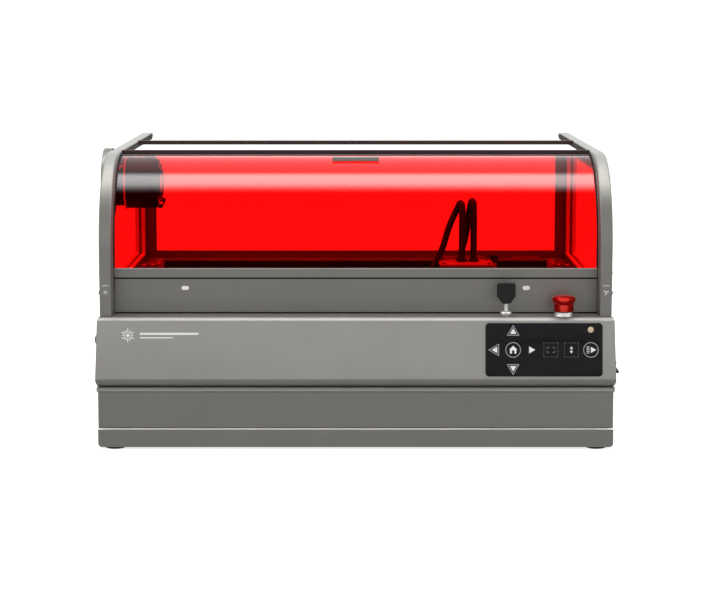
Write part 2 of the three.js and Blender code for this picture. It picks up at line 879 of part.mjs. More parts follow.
function workBed() {
  const { halfWidth, front, back, low, high, wall, legWidth } = BED;
  const room = halfWidth - wall;
  const frame = cut(
    block(-halfWidth, halfWidth, front, back, low, high),
    block(-room, room, front + wall, back - wall, low - 1, high + 1),
  );
  const slats = range(BED.slats).map((slat) => {
    const x = (slat - (BED.slats - 1) / 2) * BED.slatPitch;
    return block(x - 1, x + 1, front + wall - 1, back - wall + 1, low + 4, high - 0.5);
  });
  const legs = [-1, 1].flatMap((side) =>
    [front + wall, back - wall - legWidth].map((y) => {
      const across = spanOn(side, halfWidth - legWidth, halfWidth);
      return block(...across, y, y + legWidth, CHAMBER.floor + GAP, low + 1);
    }),
  );
  return join(frame, ...slats, ...legs);
}

function railOutline() {
  const { inner, outer, bottom, top } = RAIL;
  const { depth } = SLOT;
  const half = 2.5;
  const middle = (inner + outer) / 2;
  const height = top - 9;
  return polygon([
    [inner, bottom],
    [outer, bottom],
    [outer, height - half],
    [outer - depth, height - half],
    [outer - depth, height + half],
    [outer, height + half],
    [outer, top],
    [middle + half, top],
    [middle + half, top - depth],
    [middle - half, top - depth],
    [middle - half, top],
    [inner, top],
    [inner, height + half],
    [inner + depth, height + half],
    [inner + depth, height - half],
    [inner, height - half],
  ]);
}

function steppedMotor(axis, length) {
  const { half, bevel } = MOTOR;
  const section = polygon([
    [-half + bevel, -half],
    [half - bevel, -half],
    [half, -half + bevel],
    [half, half - bevel],
    [half - bevel, half],
    [-half + bevel, half],
    [-half, half - bevel],
    [-half, -half + bevel],
  ]);
  return prism(axis, section, 0, length);
}

function yDriveShaft() {
  const { radius, halfLength, pulleyRadius, pulleyInner, pulleyOuter } = DRIVE_SHAFT;
  return turned("x", [
    [0, -halfLength],
    [radius, -halfLength],
    [radius, -pulleyOuter],
    [pulleyRadius, -pulleyOuter],
    [pulleyRadius, -pulleyInner],
    [radius, -pulleyInner],
    [radius, pulleyInner],
    [pulleyRadius, pulleyInner],
    [pulleyRadius, pulleyOuter],
    [radius, pulleyOuter],
    [radius, halfLength],
    [0, halfLength],
  ]);
}

// The blower's drum hangs inside the chamber. Its spigot leads out through the left window and the
// cheek, and ends in a wide collar for the exhaust hose.
function blowerHousing() {
  const { radius, spigotRadius, bore, inner, intake, cavity } = BLOWER;
  const collar = EXHAUST_COLLAR;
  const shoulder = CHEEK.inner - GAP;
  const seat = CHEEK.outer + GAP;
  const shell = turned(
    "x",
    [
      [collar.bore, -collar.outer],
      [collar.radius - 1, -collar.outer],
      [collar.radius, -collar.outer + 1],
      [collar.radius, -seat],
      [spigotRadius, -seat],
      [spigotRadius, -shoulder],
      [radius, -shoulder],
      [radius, -inner - 2],
      [radius - 2, -inner],
      [intake, -inner],
      [intake, -inner - 3],
      [cavity, -inner - 3],
      [cavity, -shoulder + 4],
      [bore, -shoulder + 4],
      [bore, -seat - collar.thickness],
      [collar.bore, -seat - collar.thickness],
      [collar.bore, -collar.outer],
    ],
    26,
  );
  const intakeReach = intake + 2;
  const outletReach = bore + 1;
  const intakeGuard = range(3).map((spoke) =>
    block(-inner - 2.6, -inner - 0.2, -intakeReach, intakeReach, -1.2, 1.2).rotateX((spoke * Math.PI) / 3),
  );
  const outletGuard = range(4).map((spoke) =>
    block(-CHEEK.outer + 0.6, -CHEEK.outer + 3, -outletReach, outletReach, -1.2, 1.2).rotateX(
      (spoke * Math.PI) / 4,
    ),
  );
  return join(shell, ...intakeGuard, ...outletGuard);
}

function exhaustImpeller() {
  const hub = disc("x", 8, -16, 15, 20);
  const plate = disc("x", 28, -16, -13.5, 28);
  const blades = range(12).map((blade) => block(-14, 14, 17, 28, -0.8, 0.8).rotateX((blade * Math.PI) / 6));
  return join(hub, plate, ...blades);
}

function powerSupply() {
  const left = 60;
  const top = 132;
  const shell = block(left, left + 200, BAY.front + 10, BAY.back - 10, BAY_FLOOR, top);
  const slots = range(9).map((slot) => {
    const near = left + 14 + 20 * slot;
    return block(near, near + 10, BAY.front + 30, BAY.back - 30, top - 4, top + 1);
  });
  return cut(shell, ...slots);
}

function controlBoard() {
  const front = BAY.front + 12;
  const under = BAY_FLOOR + 6;
  const board = block(-230, -60, front, front + 78, under, under + 2);
  const standoffs = [-222, -76].flatMap((x) =>
    [front + 6, front + 64].map((y) => block(x, x + 8, y, y + 8, BAY_FLOOR, under + 1)),
  );
  const processor = block(-160, -132, front + 24, front + 52, under + 1, under + 5);
  const driver = block(-220, -190, front + 22, front + 54, under + 1, under + 16);
  const connector = block(-110, -78, front + 20, front + 34, under + 1, under + 11);
  return join(board, ...standoffs, processor, driver, connector);
}

// ---------------------------------------------------------------- gantry, carriage and head

// The gantry's frame: origin on the beam's centre line at the machine's middle.
function xBeam() {
  const { beamHalfLength, beamHalfDepth, below, above } = GANTRY;
  const { depth, halfWidth: half } = SLOT;
  const section = polygon([
    [-beamHalfDepth, -below],
    [beamHalfDepth, -below],
    [beamHalfDepth, -half],
    [beamHalfDepth - depth, -half],
    [beamHalfDepth - depth, half],
    [beamHalfDepth, half],
    [beamHalfDepth, above],
    [half, above],
    [half, above - depth],
    [-half, above - depth],
    [-half, above],
    [-beamHalfDepth, above],
    [-beamHalfDepth, half],
    [-beamHalfDepth + depth, half],
    [-beamHalfDepth + depth, -half],
    [-beamHalfDepth, -half],
  ]);
  const shaftHole = disc("y", 3.2, -12, 12, 16).translate(X_PULLEY.x, 0, 0);
  return cut(prism("x", section, -beamHalfLength, beamHalfLength), shaftHole);
}

function xDrivePulley() {
  const { radius } = X_PULLEY;
  return turned("y", [
    [0, -17.6],
    [radius + 1, -17.6],
    [radius + 1, -16.6],
    [radius, -16.6],
    [radius, -11.6],
    [radius + 1, -11.6],
    [radius + 1, -10.6],
    [2.6, -10.6],
    [2.6, 10.2],
    [0, 10.2],
  ]);
}

function gantryPlateRight() {
  const { beamHalfLength, z } = GANTRY;
  const inner = beamHalfLength + GAP;
  const over = RAIL.top + 0.6 - z;
  return join(
    block(inner, RAIL.outer, -35, 35, over, over + 6),
    block(inner, inner + 4, -35, 35, -22, over + 1),
  );
}

function carriagePlate() {
  const { halfWidth, plateFront, plateBack } = CARRIAGE;
  const { above, beamHalfDepth } = GANTRY;
  const { lugX, lugY } = HEAD;
  const armThickness = 3;
  const armEnd = lugX + 6;
  const face = block(-halfWidth, halfWidth, plateFront, plateBack, -30, above + 4);
  const saddle = block(-halfWidth, halfWidth, plateFront, beamHalfDepth + 3, above + 0.5, above + 4);
  const screwArms = [-30, above + 1].flatMap((z) => [
    block(halfWidth - 1, armEnd, plateFront, plateBack, z, z + armThickness),
    block(HEAD.halfWidth + 0.6, armEnd, lugY - 6, plateFront + 0.1, z, z + armThickness),
  ]);
  const screwBore = disc("z", 3.4, -40, 40, 16).translate(lugX, lugY, 0);
  return cut(join(face, saddle, ...screwArms), screwBore);
}

function focusScrew() {
  return turned("z", [
    [0, -32],
    [3, -32],
    [3, 22.6],
    [6, 22.6],
    [6, 28],
    [5, 29],
    [0, 29],
  ]);
}

function laserModule() {
  const { halfWidth, front, back, bottom, top, lugX, lugY } = HEAD;
  const body = block(-halfWidth, halfWidth, front, back, bottom, top);
  const slotEnds = { left: back - 6, right: back - 20 };
  const slots = range(HEAD.fins).flatMap((fin) => {
    const z = bottom + 8 + 4 * fin;
    return [
      block(-halfWidth - 1, -halfWidth + 5, front + 12, slotEnds.left, z, z + 2),
      block(halfWidth - 5, halfWidth + 1, front + 12, slotEnds.right, z, z + 2),
    ];
  });
  const fanBore = disc("y", 19, front - 1, front + 9, 28).translate(0, 0, (bottom + top) / 2);
  const lug = block(halfWidth - 0.5, lugX + 6, lugY - 6, lugY + 6, -6, 3);
  const screwHole = disc("z", 3.4, -10, 10, 16).translate(lugX, lugY, 0);
  return cut(join(body, lug), ...slots, fanBore, screwHole);
}

function laserFan() {
  const hub = disc("y", 6, 1.5, 7.5, 20);
  const blades = range(7).map((blade) =>
    block(4, 18, 2.5, 6.5, -0.9, 0.9).rotateY((blade * 2 * Math.PI) / 7),
  );
  return join(hub, ...blades);
}

function laserNozzle() {
  return turned("z", [
    [0, HEAD.nozzleTip],
    [2.5, HEAD.nozzleTip],
    [6, HEAD.nozzleTip + 5],
    [11, HEAD.nozzleTip + 6],
    [11, HEAD.bottom - GAP],
    [0, HEAD.bottom - GAP],
  ]);
}

// ---------------------------------------------------------------- assembly

const machine = new THREE.Group();

const chassis = addGroup(machine);
for (const [row, y] of [["front", FRONT + FOOT.inset], ["rear", BACK - FOOT.inset]]) {
  for (const [side, x] of [["left", -FOOT.x], ["right", FOOT.x]]) {
    addPiece(chassis, `foot_${row}_${side}`, footShape(), FINISH.rubber, [x, y, 0]);
  }
}
addPiece(chassis, "base_housing", baseHousing(), FINISH.greyPaint);
addPiece(chassis, "main_housing", mainHousing(), FINISH.greyPaint);
addPiece(chassis, "rear_deck", rearDeck(), FINISH.greyPaint);
addPiece(chassis, "upper_front_panel", upperFrontPanel(), FINISH.greyPaint);
addPiece(chassis, "cheek_left", cut(cheek(-1), spigotRoom()), FINISH.greyPaint);
addPiece(chassis, "cheek_right", cheek(1), FINISH.greyPaint);
addPiece(chassis, "side_window_left", cut(sideWindow(-1), spigotRoom()), FINISH.tintedSheet);
addPiece(chassis, "side_window_right", sideWindow(1), FINISH.tintedSheet);
addPiece(chassis, "rear_frame", rearFrame(), FINISH.darkGrey);
addPiece(chassis, "rear_window", rearWindow(), FINISH.tintedSheet);
addPiece(chassis, "rear_crossbar", rearCrossbar(), FINISH.greyPaint);
addPiece(chassis, "work_bed", workBed(), FINISH.aluminium);
addPiece(chassis, "power_supply", powerSupply(), FINISH.aluminium);
addPiece(chassis, "control_board", controlBoard(), FINISH.board);
addPiece(chassis, "key_lock", keyLock(), FINISH.steel, [LOCK.x, LOCK.y, HOUSING.top]);
addPiece(chassis, "estop_collar", estopCollar(), FINISH.steel, [ESTOP.x, ESTOP.y, HOUSING.top]);
addPiece(chassis, "air_port", airPort(), FINISH.blackPlastic, [0, AIR_PORT.y, AIR_PORT.z]);

const railRight = prism("y", railOutline(), RAIL.front, RAIL.back);
addPiece(chassis, "y_rail_right", railRight, FINISH.aluminium);
addPiece(chassis, "y_rail_left", mirroredInX(join(railRight)), FINISH.aluminium);

addPiece(chassis, "y_motor", steppedMotor("x", MOTOR.yLength), FINISH.blackPaint, [196, FRONT + 474, 143]);

addPiece(chassis, "exhaust_blower_housing", blowerHousing(), FINISH.blackPlastic, [0, BLOWER.y, BLOWER.z]);
const blowerMiddle = -(CHEEK.inner + BLOWER.inner) / 2;
const impellerPlace = [blowerMiddle, BLOWER.y, BLOWER.z];
addPiece(machine, "exhaust_impeller", exhaustImpeller(), FINISH.blackPlastic, impellerPlace);
addPiece(machine, "y_drive_shaft", yDriveShaft(), FINISH.steel, [0, DRIVE_SHAFT.y, DRIVE_SHAFT.z]);

addPiece(machine, "key", keyShape(), FINISH.blackPlastic, [LOCK.x, LOCK.y, HOUSING.top]);
addPiece(machine, "estop_head", estopHead(), FINISH.redPlastic, [ESTOP.x, ESTOP.y, HOUSING.top]);
addPiece(machine, "power_rocker", powerRocker(), FINISH.blackPlastic, [ROCKER.x, ROCKER.y, ROCKER.z]);
addPiece(machine, "light_slider", sliderKnob(-1), FINISH.blackPlastic, [0, SLIDER.y - 2, SLIDER.z]);
addPiece(machine, "fan_slider", sliderKnob(1), FINISH.blackPlastic, [0, SLIDER.y - 2, SLIDER.z]);

const panel = panelFrame(machine);
addPiece(panel.group, "control_fascia", fascia(panel.slope), FINISH.blackPlastic);
for (const key of PANEL_KEYS) {
  addPiece(panel.group, key.name, panelKey(key), FINISH.blackPlastic, keyOffset(key, panel.slope));
}

const drawer = addGroup(machine);
addPiece(drawer, "drawer_front", drawerFront(), FINISH.greyPaint);
addPiece(drawer, "drawer_tray", drawerTray(), FINISH.darkGrey);

const lid = addGroup(machine, [0, LID.hingeY, LID.hingeZ]);
addPiece(lid, "lid_window", lidWindow(), FINISH.tintedSheet);
addPiece(lid, "lid_front_rail", lidFrontRail(), FINISH.greyPaint);
addPiece(lid, "lid_front_rib", lidRib(LID.frontRibY), FINISH.blackPaint);
addPiece(lid, "lid_rear_rib", lidRib(LID.rearRibY), FINISH.blackPaint);
addPiece(lid, "lid_hinge_bar", lidHingeBar(), FINISH.blackPaint);

const gantry = addGroup(machine, [0, GANTRY.y, GANTRY.z]);
addPiece(gantry, "x_beam", xBeam(), FINISH.blackPaint);
addPiece(gantry, "gantry_plate_right", gantryPlateRight(), FINISH.blackPaint);
addPiece(gantry, "gantry_plate_left", mirroredInX(gantryPlateRight()), FINISH.blackPaint);
const xMotorPlace = [X_PULLEY.x, GANTRY.beamHalfDepth + 0.4, -3];
addPiece(gantry, "x_motor", steppedMotor("y", MOTOR.xLength), FINISH.blackPaint, xMotorPlace);
addPiece(gantry, "x_drive_pulley", xDrivePulley(), FINISH.steel, [X_PULLEY.x, 0, 0]);

const carriage = addGroup(gantry, [CARRIAGE.x, 0, 0]);
addPiece(carriage, "carriage_plate", carriagePlate(), FINISH.blackPaint);
addPiece(carriage, "focus_screw", focusScrew(), FINISH.steel, [HEAD.lugX, HEAD.lugY, 0]);
addPiece(carriage, "laser_module", laserModule(), FINISH.aluminium);
addPiece(carriage, "laser_nozzle", laserNozzle(), FINISH.steel, [0, (HEAD.front + HEAD.back) / 2, 0]);
const fanPlace = [0, HEAD.front, (HEAD.bottom + HEAD.top) / 2];
addPiece(carriage, "laser_fan", laserFan(), FINISH.blackPlastic, fanPlace);

// Both lines leave the head's top, turn over in a tight loop and come down behind.
const powerCable = sweep(
  [
    [-4.8, -54, HEAD.top + 1],
    [-4.8, -54, 60],
    [-4.9, -53.5, 86],
    [-6.6, -48, 99],
    [-10.5, -42, 92],
    [-20.9, -41, 70],
    [-31.7, -41, 36],
    [-41, -43, 12],
    [-43, -45, 0],
  ],
  CABLE_RADIUS,
  26,
);
addPiece(carriage, "power_cable", powerCable, FINISH.cable);

const airHose = sweep(
  [
    [10.8, -52, HEAD.top + 1],
    [10.8, -52, 60],
    [10.6, -51.5, 88],
    [9.4, -45, 101.5],
    [6.4, -39, 92],
    [3.3, -38, 70],
    [0, -38, 50],
    [-5, -38, 33],
    [-6, -38, HEAD.top + 1],
  ],
  CABLE_RADIUS,
  26,
);
addPiece(carriage, "air_hose", airHose, FINISH.cable);

export default machine;
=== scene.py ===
"""Looks for the desktop laser cutter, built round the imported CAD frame.

Shapes are given in millimetres in the machine's own frame: +X right seen from the front, the front
faces -Y and +Z is up. Places come from the frame's nodes and joints.
"""
import json
import math

import bmesh
import bpy
from mathutils import Matrix, Vector

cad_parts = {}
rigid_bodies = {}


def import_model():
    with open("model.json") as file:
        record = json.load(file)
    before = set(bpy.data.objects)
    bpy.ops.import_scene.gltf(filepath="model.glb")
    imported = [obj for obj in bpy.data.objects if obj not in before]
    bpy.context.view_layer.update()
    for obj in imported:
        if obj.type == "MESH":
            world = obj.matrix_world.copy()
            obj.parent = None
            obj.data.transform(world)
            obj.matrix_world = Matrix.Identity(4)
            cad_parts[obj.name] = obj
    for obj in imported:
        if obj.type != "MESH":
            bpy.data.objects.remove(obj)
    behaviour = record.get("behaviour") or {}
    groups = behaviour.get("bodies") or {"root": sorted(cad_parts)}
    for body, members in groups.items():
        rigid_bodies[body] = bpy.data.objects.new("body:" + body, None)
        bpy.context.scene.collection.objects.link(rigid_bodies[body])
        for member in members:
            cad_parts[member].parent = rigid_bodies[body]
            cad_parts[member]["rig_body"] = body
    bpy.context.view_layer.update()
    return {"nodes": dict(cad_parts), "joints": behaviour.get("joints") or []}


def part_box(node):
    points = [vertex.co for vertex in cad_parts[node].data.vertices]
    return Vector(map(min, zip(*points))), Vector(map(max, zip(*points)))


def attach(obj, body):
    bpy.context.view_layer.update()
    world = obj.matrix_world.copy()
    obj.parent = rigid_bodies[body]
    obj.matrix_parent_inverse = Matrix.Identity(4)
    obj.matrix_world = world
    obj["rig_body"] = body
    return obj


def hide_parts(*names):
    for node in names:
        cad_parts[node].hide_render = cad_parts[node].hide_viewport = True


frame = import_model()

MM = 0.001
AXES = ("x", "y", "z")
SHARP_ANGLE = math.radians(32)

ARCH_SPRINGING = 250          # height where the cheeks' and the lid's arches start
SHEET = 3.2                   # thickness of the tinted sheets
CHEEK_EDGE = 2.2              # rounding of the cheeks' edges
ARCH_STEPS = 40               # steps in each quarter arch


# ---------------------------------------------------------------- places taken from the frame

class Box:
    """The place of a CAD node at rest, in millimetres."""

    def __init__(self, node):
        low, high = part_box(node)
        self.x0, self.y0, self.z0 = (value / MM for value in low)
        self.x1, self.y1, self.z1 = (value / MM for value in high)

    @property
    def cx(self):
        return (self.x0 + self.x1) / 2

    @property
    def cy(self):
        return (self.y0 + self.y1) / 2

    @property
    def cz(self):
        return (self.z0 + self.z1) / 2


def body_of_node(node):
    return frame["nodes"][node]["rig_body"]


def joint_named(name):
    return next(joint for joint in frame["joints"] if joint["name"] == name)


# ---------------------------------------------------------------- materials

class Graph:
    """A short way to build a material's or the world's nodes."""

    def __init__(self, owner):
        owner.use_nodes = True
        self.tree = owner.node_tree
        self.tree.nodes.clear()

    def add(self, kind, settings=None, **inputs):
        node = self.tree.nodes.new("ShaderNode" + kind)
        for key, value in (settings or {}).items():
            setattr(node, key, value)
        for key, value in inputs.items():
            self.feed(node, key.replace("_", " "), value)
        return node

    def feed(self, node, name, value):
        socket = node.inputs[int(name)] if name.isdigit() else node.inputs[name]
        if isinstance(value, bpy.types.NodeSocket):
            self.tree.links.new(value, socket)
        else:
            socket.default_value = value

    def math(self, operation, first, second=0.0, third=0.0, clamp=False):
        node = self.add("Math", {"operation": operation, "use_clamp": clamp})
        for index, value in enumerate((first, second, third)):
            self.feed(node, str(index), value)
        return node.outputs[0]

    def smooth_step(self, value, low, high, to_low=0.0, to_high=1.0):
        node = self.add("MapRange", {"interpolation_type": "SMOOTHSTEP"})
        for name, number in (("Value", value), ("From Min", low), ("From Max", high),
                             ("To Min", to_low), ("To Max", to_high)):
            self.feed(node, name, number)
        return node.outputs[0]

    def noise(self, scale, detail=2.0, stretch=(1, 1, 1), roughness=0.55):
        place = self.add("TexCoord").outputs["Object"]
        moved = self.add("Mapping", Vector=place, Scale=stretch)
        return self.add("TexNoise", Vector=moved.outputs[0], Scale=scale, Detail=detail,
                        Roughness=roughness).outputs["Fac"]

    def edges(self):
        """1 on the surface's edges and corners, 0 on its flats."""
        likeness = self.add("VectorMath", {"operation": "DOT_PRODUCT"})
        rounded = self.add("Bevel", {"samples": 4}, Radius=1.4 * MM)
        self.tree.links.new(rounded.outputs[0], likeness.inputs[0])
        self.tree.links.new(self.add("NewGeometry").outputs["Normal"], likeness.inputs[1])
        return self.smooth_step(self.math("SUBTRACT", 1.0, likeness.outputs["Value"]), 0.01, 0.08)

    def blend(self, factor, first, second, mode="MIX"):
        node = self.add("Mix", {"data_type": "RGBA", "blend_type": mode})
        self.feed(node, "0", factor)
        self.feed(node, "6", first)
        self.feed(node, "7", second)
        return node.outputs[2]


def rgb(red, green, blue):
    return (red, green, blue, 1.0)


def surface(name, colour, roughness, metallic=0.0, grain=900, grain_depth=0.02, stretch=(1, 1, 1),
            mottle=0.05, rough_spread=0.08, wear=0.0, wear_colour=(0.5, 0.49, 0.46, 1), top_highlight=0.0,
            specular=0.5, emission=None):
    """A solid finish: fine grain in bump and roughness, slow colour change, worn edges and a painted highlight
    on upward faces.
    """
    material = bpy.data.materials.new(name)
    graph = Graph(material)
    fine = graph.noise(grain, 3.0, stretch)
    slow = graph.noise(14, 2.0)
    shade = graph.smooth_step(slow, 0.3, 0.7, 1 - mottle, 1 + mottle)
    speck = graph.smooth_step(fine, 0.25, 0.75, 1 - mottle, 1 + mottle)
    tone = graph.math("MULTIPLY", shade, speck)
    grey = graph.add("CombineColor")
    for index in range(3):
        graph.feed(grey, str(index), tone)
    base = graph.blend(1.0, colour, grey.outputs[0], "MULTIPLY")
    rough = graph.math("ADD", graph.smooth_step(fine, 0.2, 0.8, -rough_spread, rough_spread), roughness)
    if wear:
        patches = graph.smooth_step(graph.noise(60, 4.0), 0.42, 0.64, 0.0, wear)
        base = graph.blend(graph.math("MULTIPLY", graph.edges(), patches), base, wear_colour)
    # Painted highlight: faces that point up are blended towards a pale grey, so the top looks lit.
    if top_highlight:
        upwards = graph.add("SeparateXYZ", Vector=graph.add("NewGeometry").outputs["Normal"]).outputs[2]
        base = graph.blend(graph.smooth_step(upwards, 0.76, 0.97, 0.0, top_highlight), base, rgb(0.62, 0.63, 0.6))
    bump = graph.add("Bump", Strength=0.35, Distance=grain_depth * MM, Height=fine)
    shader = graph.add("BsdfPrincipled", Base_Color=base, Roughness=rough, Metallic=metallic,
                       Normal=bump.outputs[0])
    graph.feed(shader, "Specular IOR Level", specular)
    if emission:
        graph.feed(shader, "Emission Color", colour)
        graph.feed(shader, "Emission Strength", emission)
    output = graph.add("OutputMaterial")
    graph.feed(output, "Surface", shader.outputs[0])
    return material


def tinted_sheet(name, tint, polish):
    """Clear tinted acrylic: it lets the tint through and mirrors more at a low angle."""
    material = bpy.data.materials.new(name)
    graph = Graph(material)
    geometry = graph.add("NewGeometry")
    facing = graph.add("VectorMath", {"operation": "DOT_PRODUCT"})
    graph.tree.links.new(geometry.outputs["Normal"], facing.inputs[0])
    graph.tree.links.new(geometry.outputs["Incoming"], facing.inputs[1])
    cosine = graph.math("ABSOLUTE", facing.outputs["Value"])
    glancing = graph.math("POWER", graph.math("SUBTRACT", 1.0, cosine), 5.0)
    mirror = graph.math("MULTIPLY_ADD", glancing, 0.96, 0.04)
    steep = graph.smooth_step(cosine, 0.76, 0.86, 1.0, 0.0)
    outside = graph.math("SUBTRACT", 1.0, geometry.outputs["Backfacing"])
    gloss_share = graph.math("MULTIPLY", graph.math("MULTIPLY", mirror, steep), polish)
    share = graph.math("MULTIPLY", gloss_share, outside, clamp=True)
    haze = graph.smooth_step(graph.noise(7, 4.0), 0.35, 0.75, 0.03, 0.07)
    ripple = graph.add("Bump", Strength=0.04, Distance=0.3 * MM, Height=graph.noise(9, 1.0))
    gloss = graph.add("BsdfAnisotropic", Color=rgb(1, 1, 1), Roughness=haze, Normal=ripple.outputs[0])
    clear = graph.add("BsdfTransparent", Color=tint)
    mix = graph.add("MixShader")
    graph.feed(mix, "0", share)
    graph.feed(mix, "1", clear.outputs[0])
    graph.feed(mix, "2", gloss.outputs[0])
    output = graph.add("OutputMaterial")
    graph.feed(output, "Surface", mix.outputs[0])
    return material


def circuit_board_finish(name):
    """Green solder mask with paler copper tracks under it."""
    material = bpy.data.materials.new(name)
    graph = Graph(material)
    place = graph.add("TexCoord").outputs["Object"]
    bricks = graph.add("TexBrick", Vector=place, Scale=160.0, Mortar_Size=0.06,
                       Color1=rgb(0.012, 0.10, 0.04), Color2=rgb(0.010, 0.085, 0.035),
                       Mortar=rgb(0.04, 0.24, 0.09))
    shader = graph.add("BsdfPrincipled", Base_Color=bricks.outputs["Color"], Roughness=0.35)
    bump = graph.add("Bump", Strength=0.3, Distance=0.05 * MM, Height=bricks.outputs["Fac"])
    graph.feed(shader, "Normal", bump.outputs[0])
    output = graph.add("OutputMaterial")
    graph.feed(output, "Surface", shader.outputs[0])
    return material


def candy_red(name):
    """Red lacquer over metal with painted light: a painted highlight where it faces the eye, painted shade on
    its flanks and a painted light rim.
    """
    material = bpy.data.materials.new(name)
    graph = Graph(material)
    # Painted highlight and shade: the base colour follows how the surface faces the eye.
    facing = graph.add("LayerWeight", Blend=0.5).outputs["Facing"]
    flank_shade = graph.math("MULTIPLY", graph.smooth_step(facing, 0.03, 0.16),
                       graph.smooth_step(facing, 0.55, 0.8, 1.0, 0.0))
    fine = graph.noise(900, 3.0)
    base = graph.blend(flank_shade, rgb(1.0, 0.06, 0.04), rgb(0.34, 0.002, 0.001))
    worn = graph.math("MULTIPLY", graph.edges(), graph.smooth_step(fine, 0.5, 0.7, 0.0, 0.3))
    base = graph.blend(worn, base, rgb(0.9, 0.25, 0.2))
    rough = graph.smooth_step(fine, 0.2, 0.8, 0.13, 0.2)
    bump = graph.add("Bump", Strength=0.3, Distance=0.02 * MM, Height=fine)
    shader = graph.add("BsdfPrincipled", Base_Color=base, Roughness=rough, Metallic=0.75,
                       Normal=bump.outputs[0])
    graph.feed(shader, "Specular IOR Level", 0.15)
    output = graph.add("OutputMaterial")
    graph.feed(output, "Surface", shader.outputs[0])
    return material


def braided_finish(name):
    """A woven cable sleeve: crossed diagonal bands in bump and tone."""
    material = bpy.data.materials.new(name)
    graph = Graph(material)
    place = graph.add("TexCoord").outputs["Object"]
    bands = []
    for turn in (0.8, -0.8):
        turned = graph.add("Mapping", Vector=place, Rotation=(turn, turn, 0))
        wave = graph.add("TexWave", Vector=turned.outputs[0], Scale=260.0, Distortion=0.4)
        bands.append(wave.outputs["Fac"])
    weave = graph.math("MULTIPLY", *bands)
    tone = graph.blend(weave, rgb(0.006, 0.006, 0.007), rgb(0.022, 0.022, 0.024))
    bump = graph.add("Bump", Strength=0.6, Distance=0.25 * MM, Height=weave)
    shader = graph.add("BsdfPrincipled", Base_Color=tone, Roughness=0.5, Normal=bump.outputs[0])
    output = graph.add("OutputMaterial")
    graph.feed(output, "Surface", shader.outputs[0])
    return material


GREY = surface("grey_paint", rgb(0.262, 0.255, 0.236), 0.46, 0.75, grain=700, grain_depth=0.03,
               mottle=0.02, rough_spread=0.05, wear=0.3)
# The cheeks' grey, with a painted highlight on their upward faces.
TOP_LIT_CHEEK_GREY = surface("cheek_paint_lit_top", rgb(0.262, 0.255, 0.236), 0.46, 0.75, grain=700, grain_depth=0.03,
                     mottle=0.02, rough_spread=0.05, wear=0.3, top_highlight=0.45)
# Black for the chamber's inside, also used as painted shade on the strips behind the side openings' front edges.
CHAMBER_BLACK_AND_SHADE = surface("chamber_black_and_painted_shade", rgb(0.012, 0.012, 0.012), 0.6, 0.0, grain=600, mottle=0.12)
# A lighter copy of the grey paint: painted light on the leaning front face.
PAINTED_LIGHT_GREY = surface("front_paint_painted_light", rgb(0.375, 0.366, 0.345), 0.44, 0.72, grain=700, grain_depth=0.03,
                   mottle=0.02, rough_spread=0.05, wear=0.3)
# A brighter grey used as a painted highlight on the base's kerb slope, a thin line above the drawer and the lid
# rail's top edge.
PAINTED_HIGHLIGHT_GREY = surface("painted_highlight_edge", rgb(0.47, 0.46, 0.44), 0.36, 0.85, grain=700, grain_depth=0.02,
                   mottle=0.03, rough_spread=0.05)
DARK = surface("dark_paint", rgb(0.045, 0.045, 0.044), 0.5, 0.3, grain=700, mottle=0.08, wear=0.4)
# The rear frame's own darker grey, also used as painted shade on the housing's top front edge and on the drawer
# front's top band.
FRAME_AND_SHADE_GREY = surface("frame_paint_and_painted_shade", rgb(0.17, 0.165, 0.16), 0.5, 0.2, grain=700, mottle=0.05, wear=0.3)
PALE_COVER = surface("pale_cover", rgb(0.5, 0.5, 0.48), 0.4, 0.1, grain=900, mottle=0.03, wear=0.2,
                     wear_colour=rgb(0.4, 0.4, 0.38))
PALE_TRIM = surface("pale_trim", rgb(0.85, 0.85, 0.83), 0.55, 0.0, grain=900, mottle=0.03)
BLACK_METAL = surface("black_metal", rgb(0.015, 0.015, 0.016), 0.42, 0.4, grain=1200, mottle=0.12,
                      wear=0.35, wear_colour=rgb(0.2, 0.2, 0.2))
BLACK_PLASTIC = surface("black_plastic", rgb(0.012, 0.012, 0.012), 0.48, grain=1500, grain_depth=0.04,
                        mottle=0.10, wear=0.2, wear_colour=rgb(0.06, 0.06, 0.06), specular=0.22)
PANEL_BLACK = surface("panel_black", rgb(0.005, 0.0047, 0.0053), 0.32, grain=1800, grain_depth=0.01,
                      mottle=0.08, specular=0.18)
RUBBER = surface("rubber", rgb(0.012, 0.012, 0.012), 0.85, grain=500, grain_depth=0.1, mottle=0.2)
ALUMINIUM = surface("bare_aluminium", rgb(0.48, 0.49, 0.50), 0.34, 0.95, grain=400, grain_depth=0.02,
                    stretch=(0.05, 1, 1), mottle=0.06, rough_spread=0.12)
STEEL = surface("bright_steel", rgb(0.85, 0.85, 0.83), 0.3, 0.85, grain=500, grain_depth=0.01,
                stretch=(1, 1, 0.1), mottle=0.05)
RED_PLASTIC = candy_red("red_button")
WHITE_PRINT = surface("white_print", rgb(0.86, 0.86, 0.85), 0.5, grain=1500, mottle=0.03)
SOFT_PRINT = surface("soft_print", rgb(0.42, 0.42, 0.42), 0.5, grain=1500, mottle=0.03)
DIM_PRINT = surface("dim_print", rgb(0.16, 0.16, 0.16), 0.5, grain=1500, mottle=0.03)
PALE_LENS = surface("pale_lens", rgb(0.85, 0.85, 0.84), 0.25, grain=800, mottle=0.03, emission=0.12)
LAMP = surface("status_lamp", rgb(0.55, 0.42, 0.28), 0.25, grain=900, mottle=0.05, emission=0.1)
BELT = surface("belt_rubber", rgb(0.010, 0.010, 0.011), 0.7, grain=800, grain_depth=0.1, mottle=0.2)
RIB_BROWN = surface("lid_rib", rgb(0.034, 0.012, 0.011), 0.5, 0.2, grain=1200, mottle=0.12)
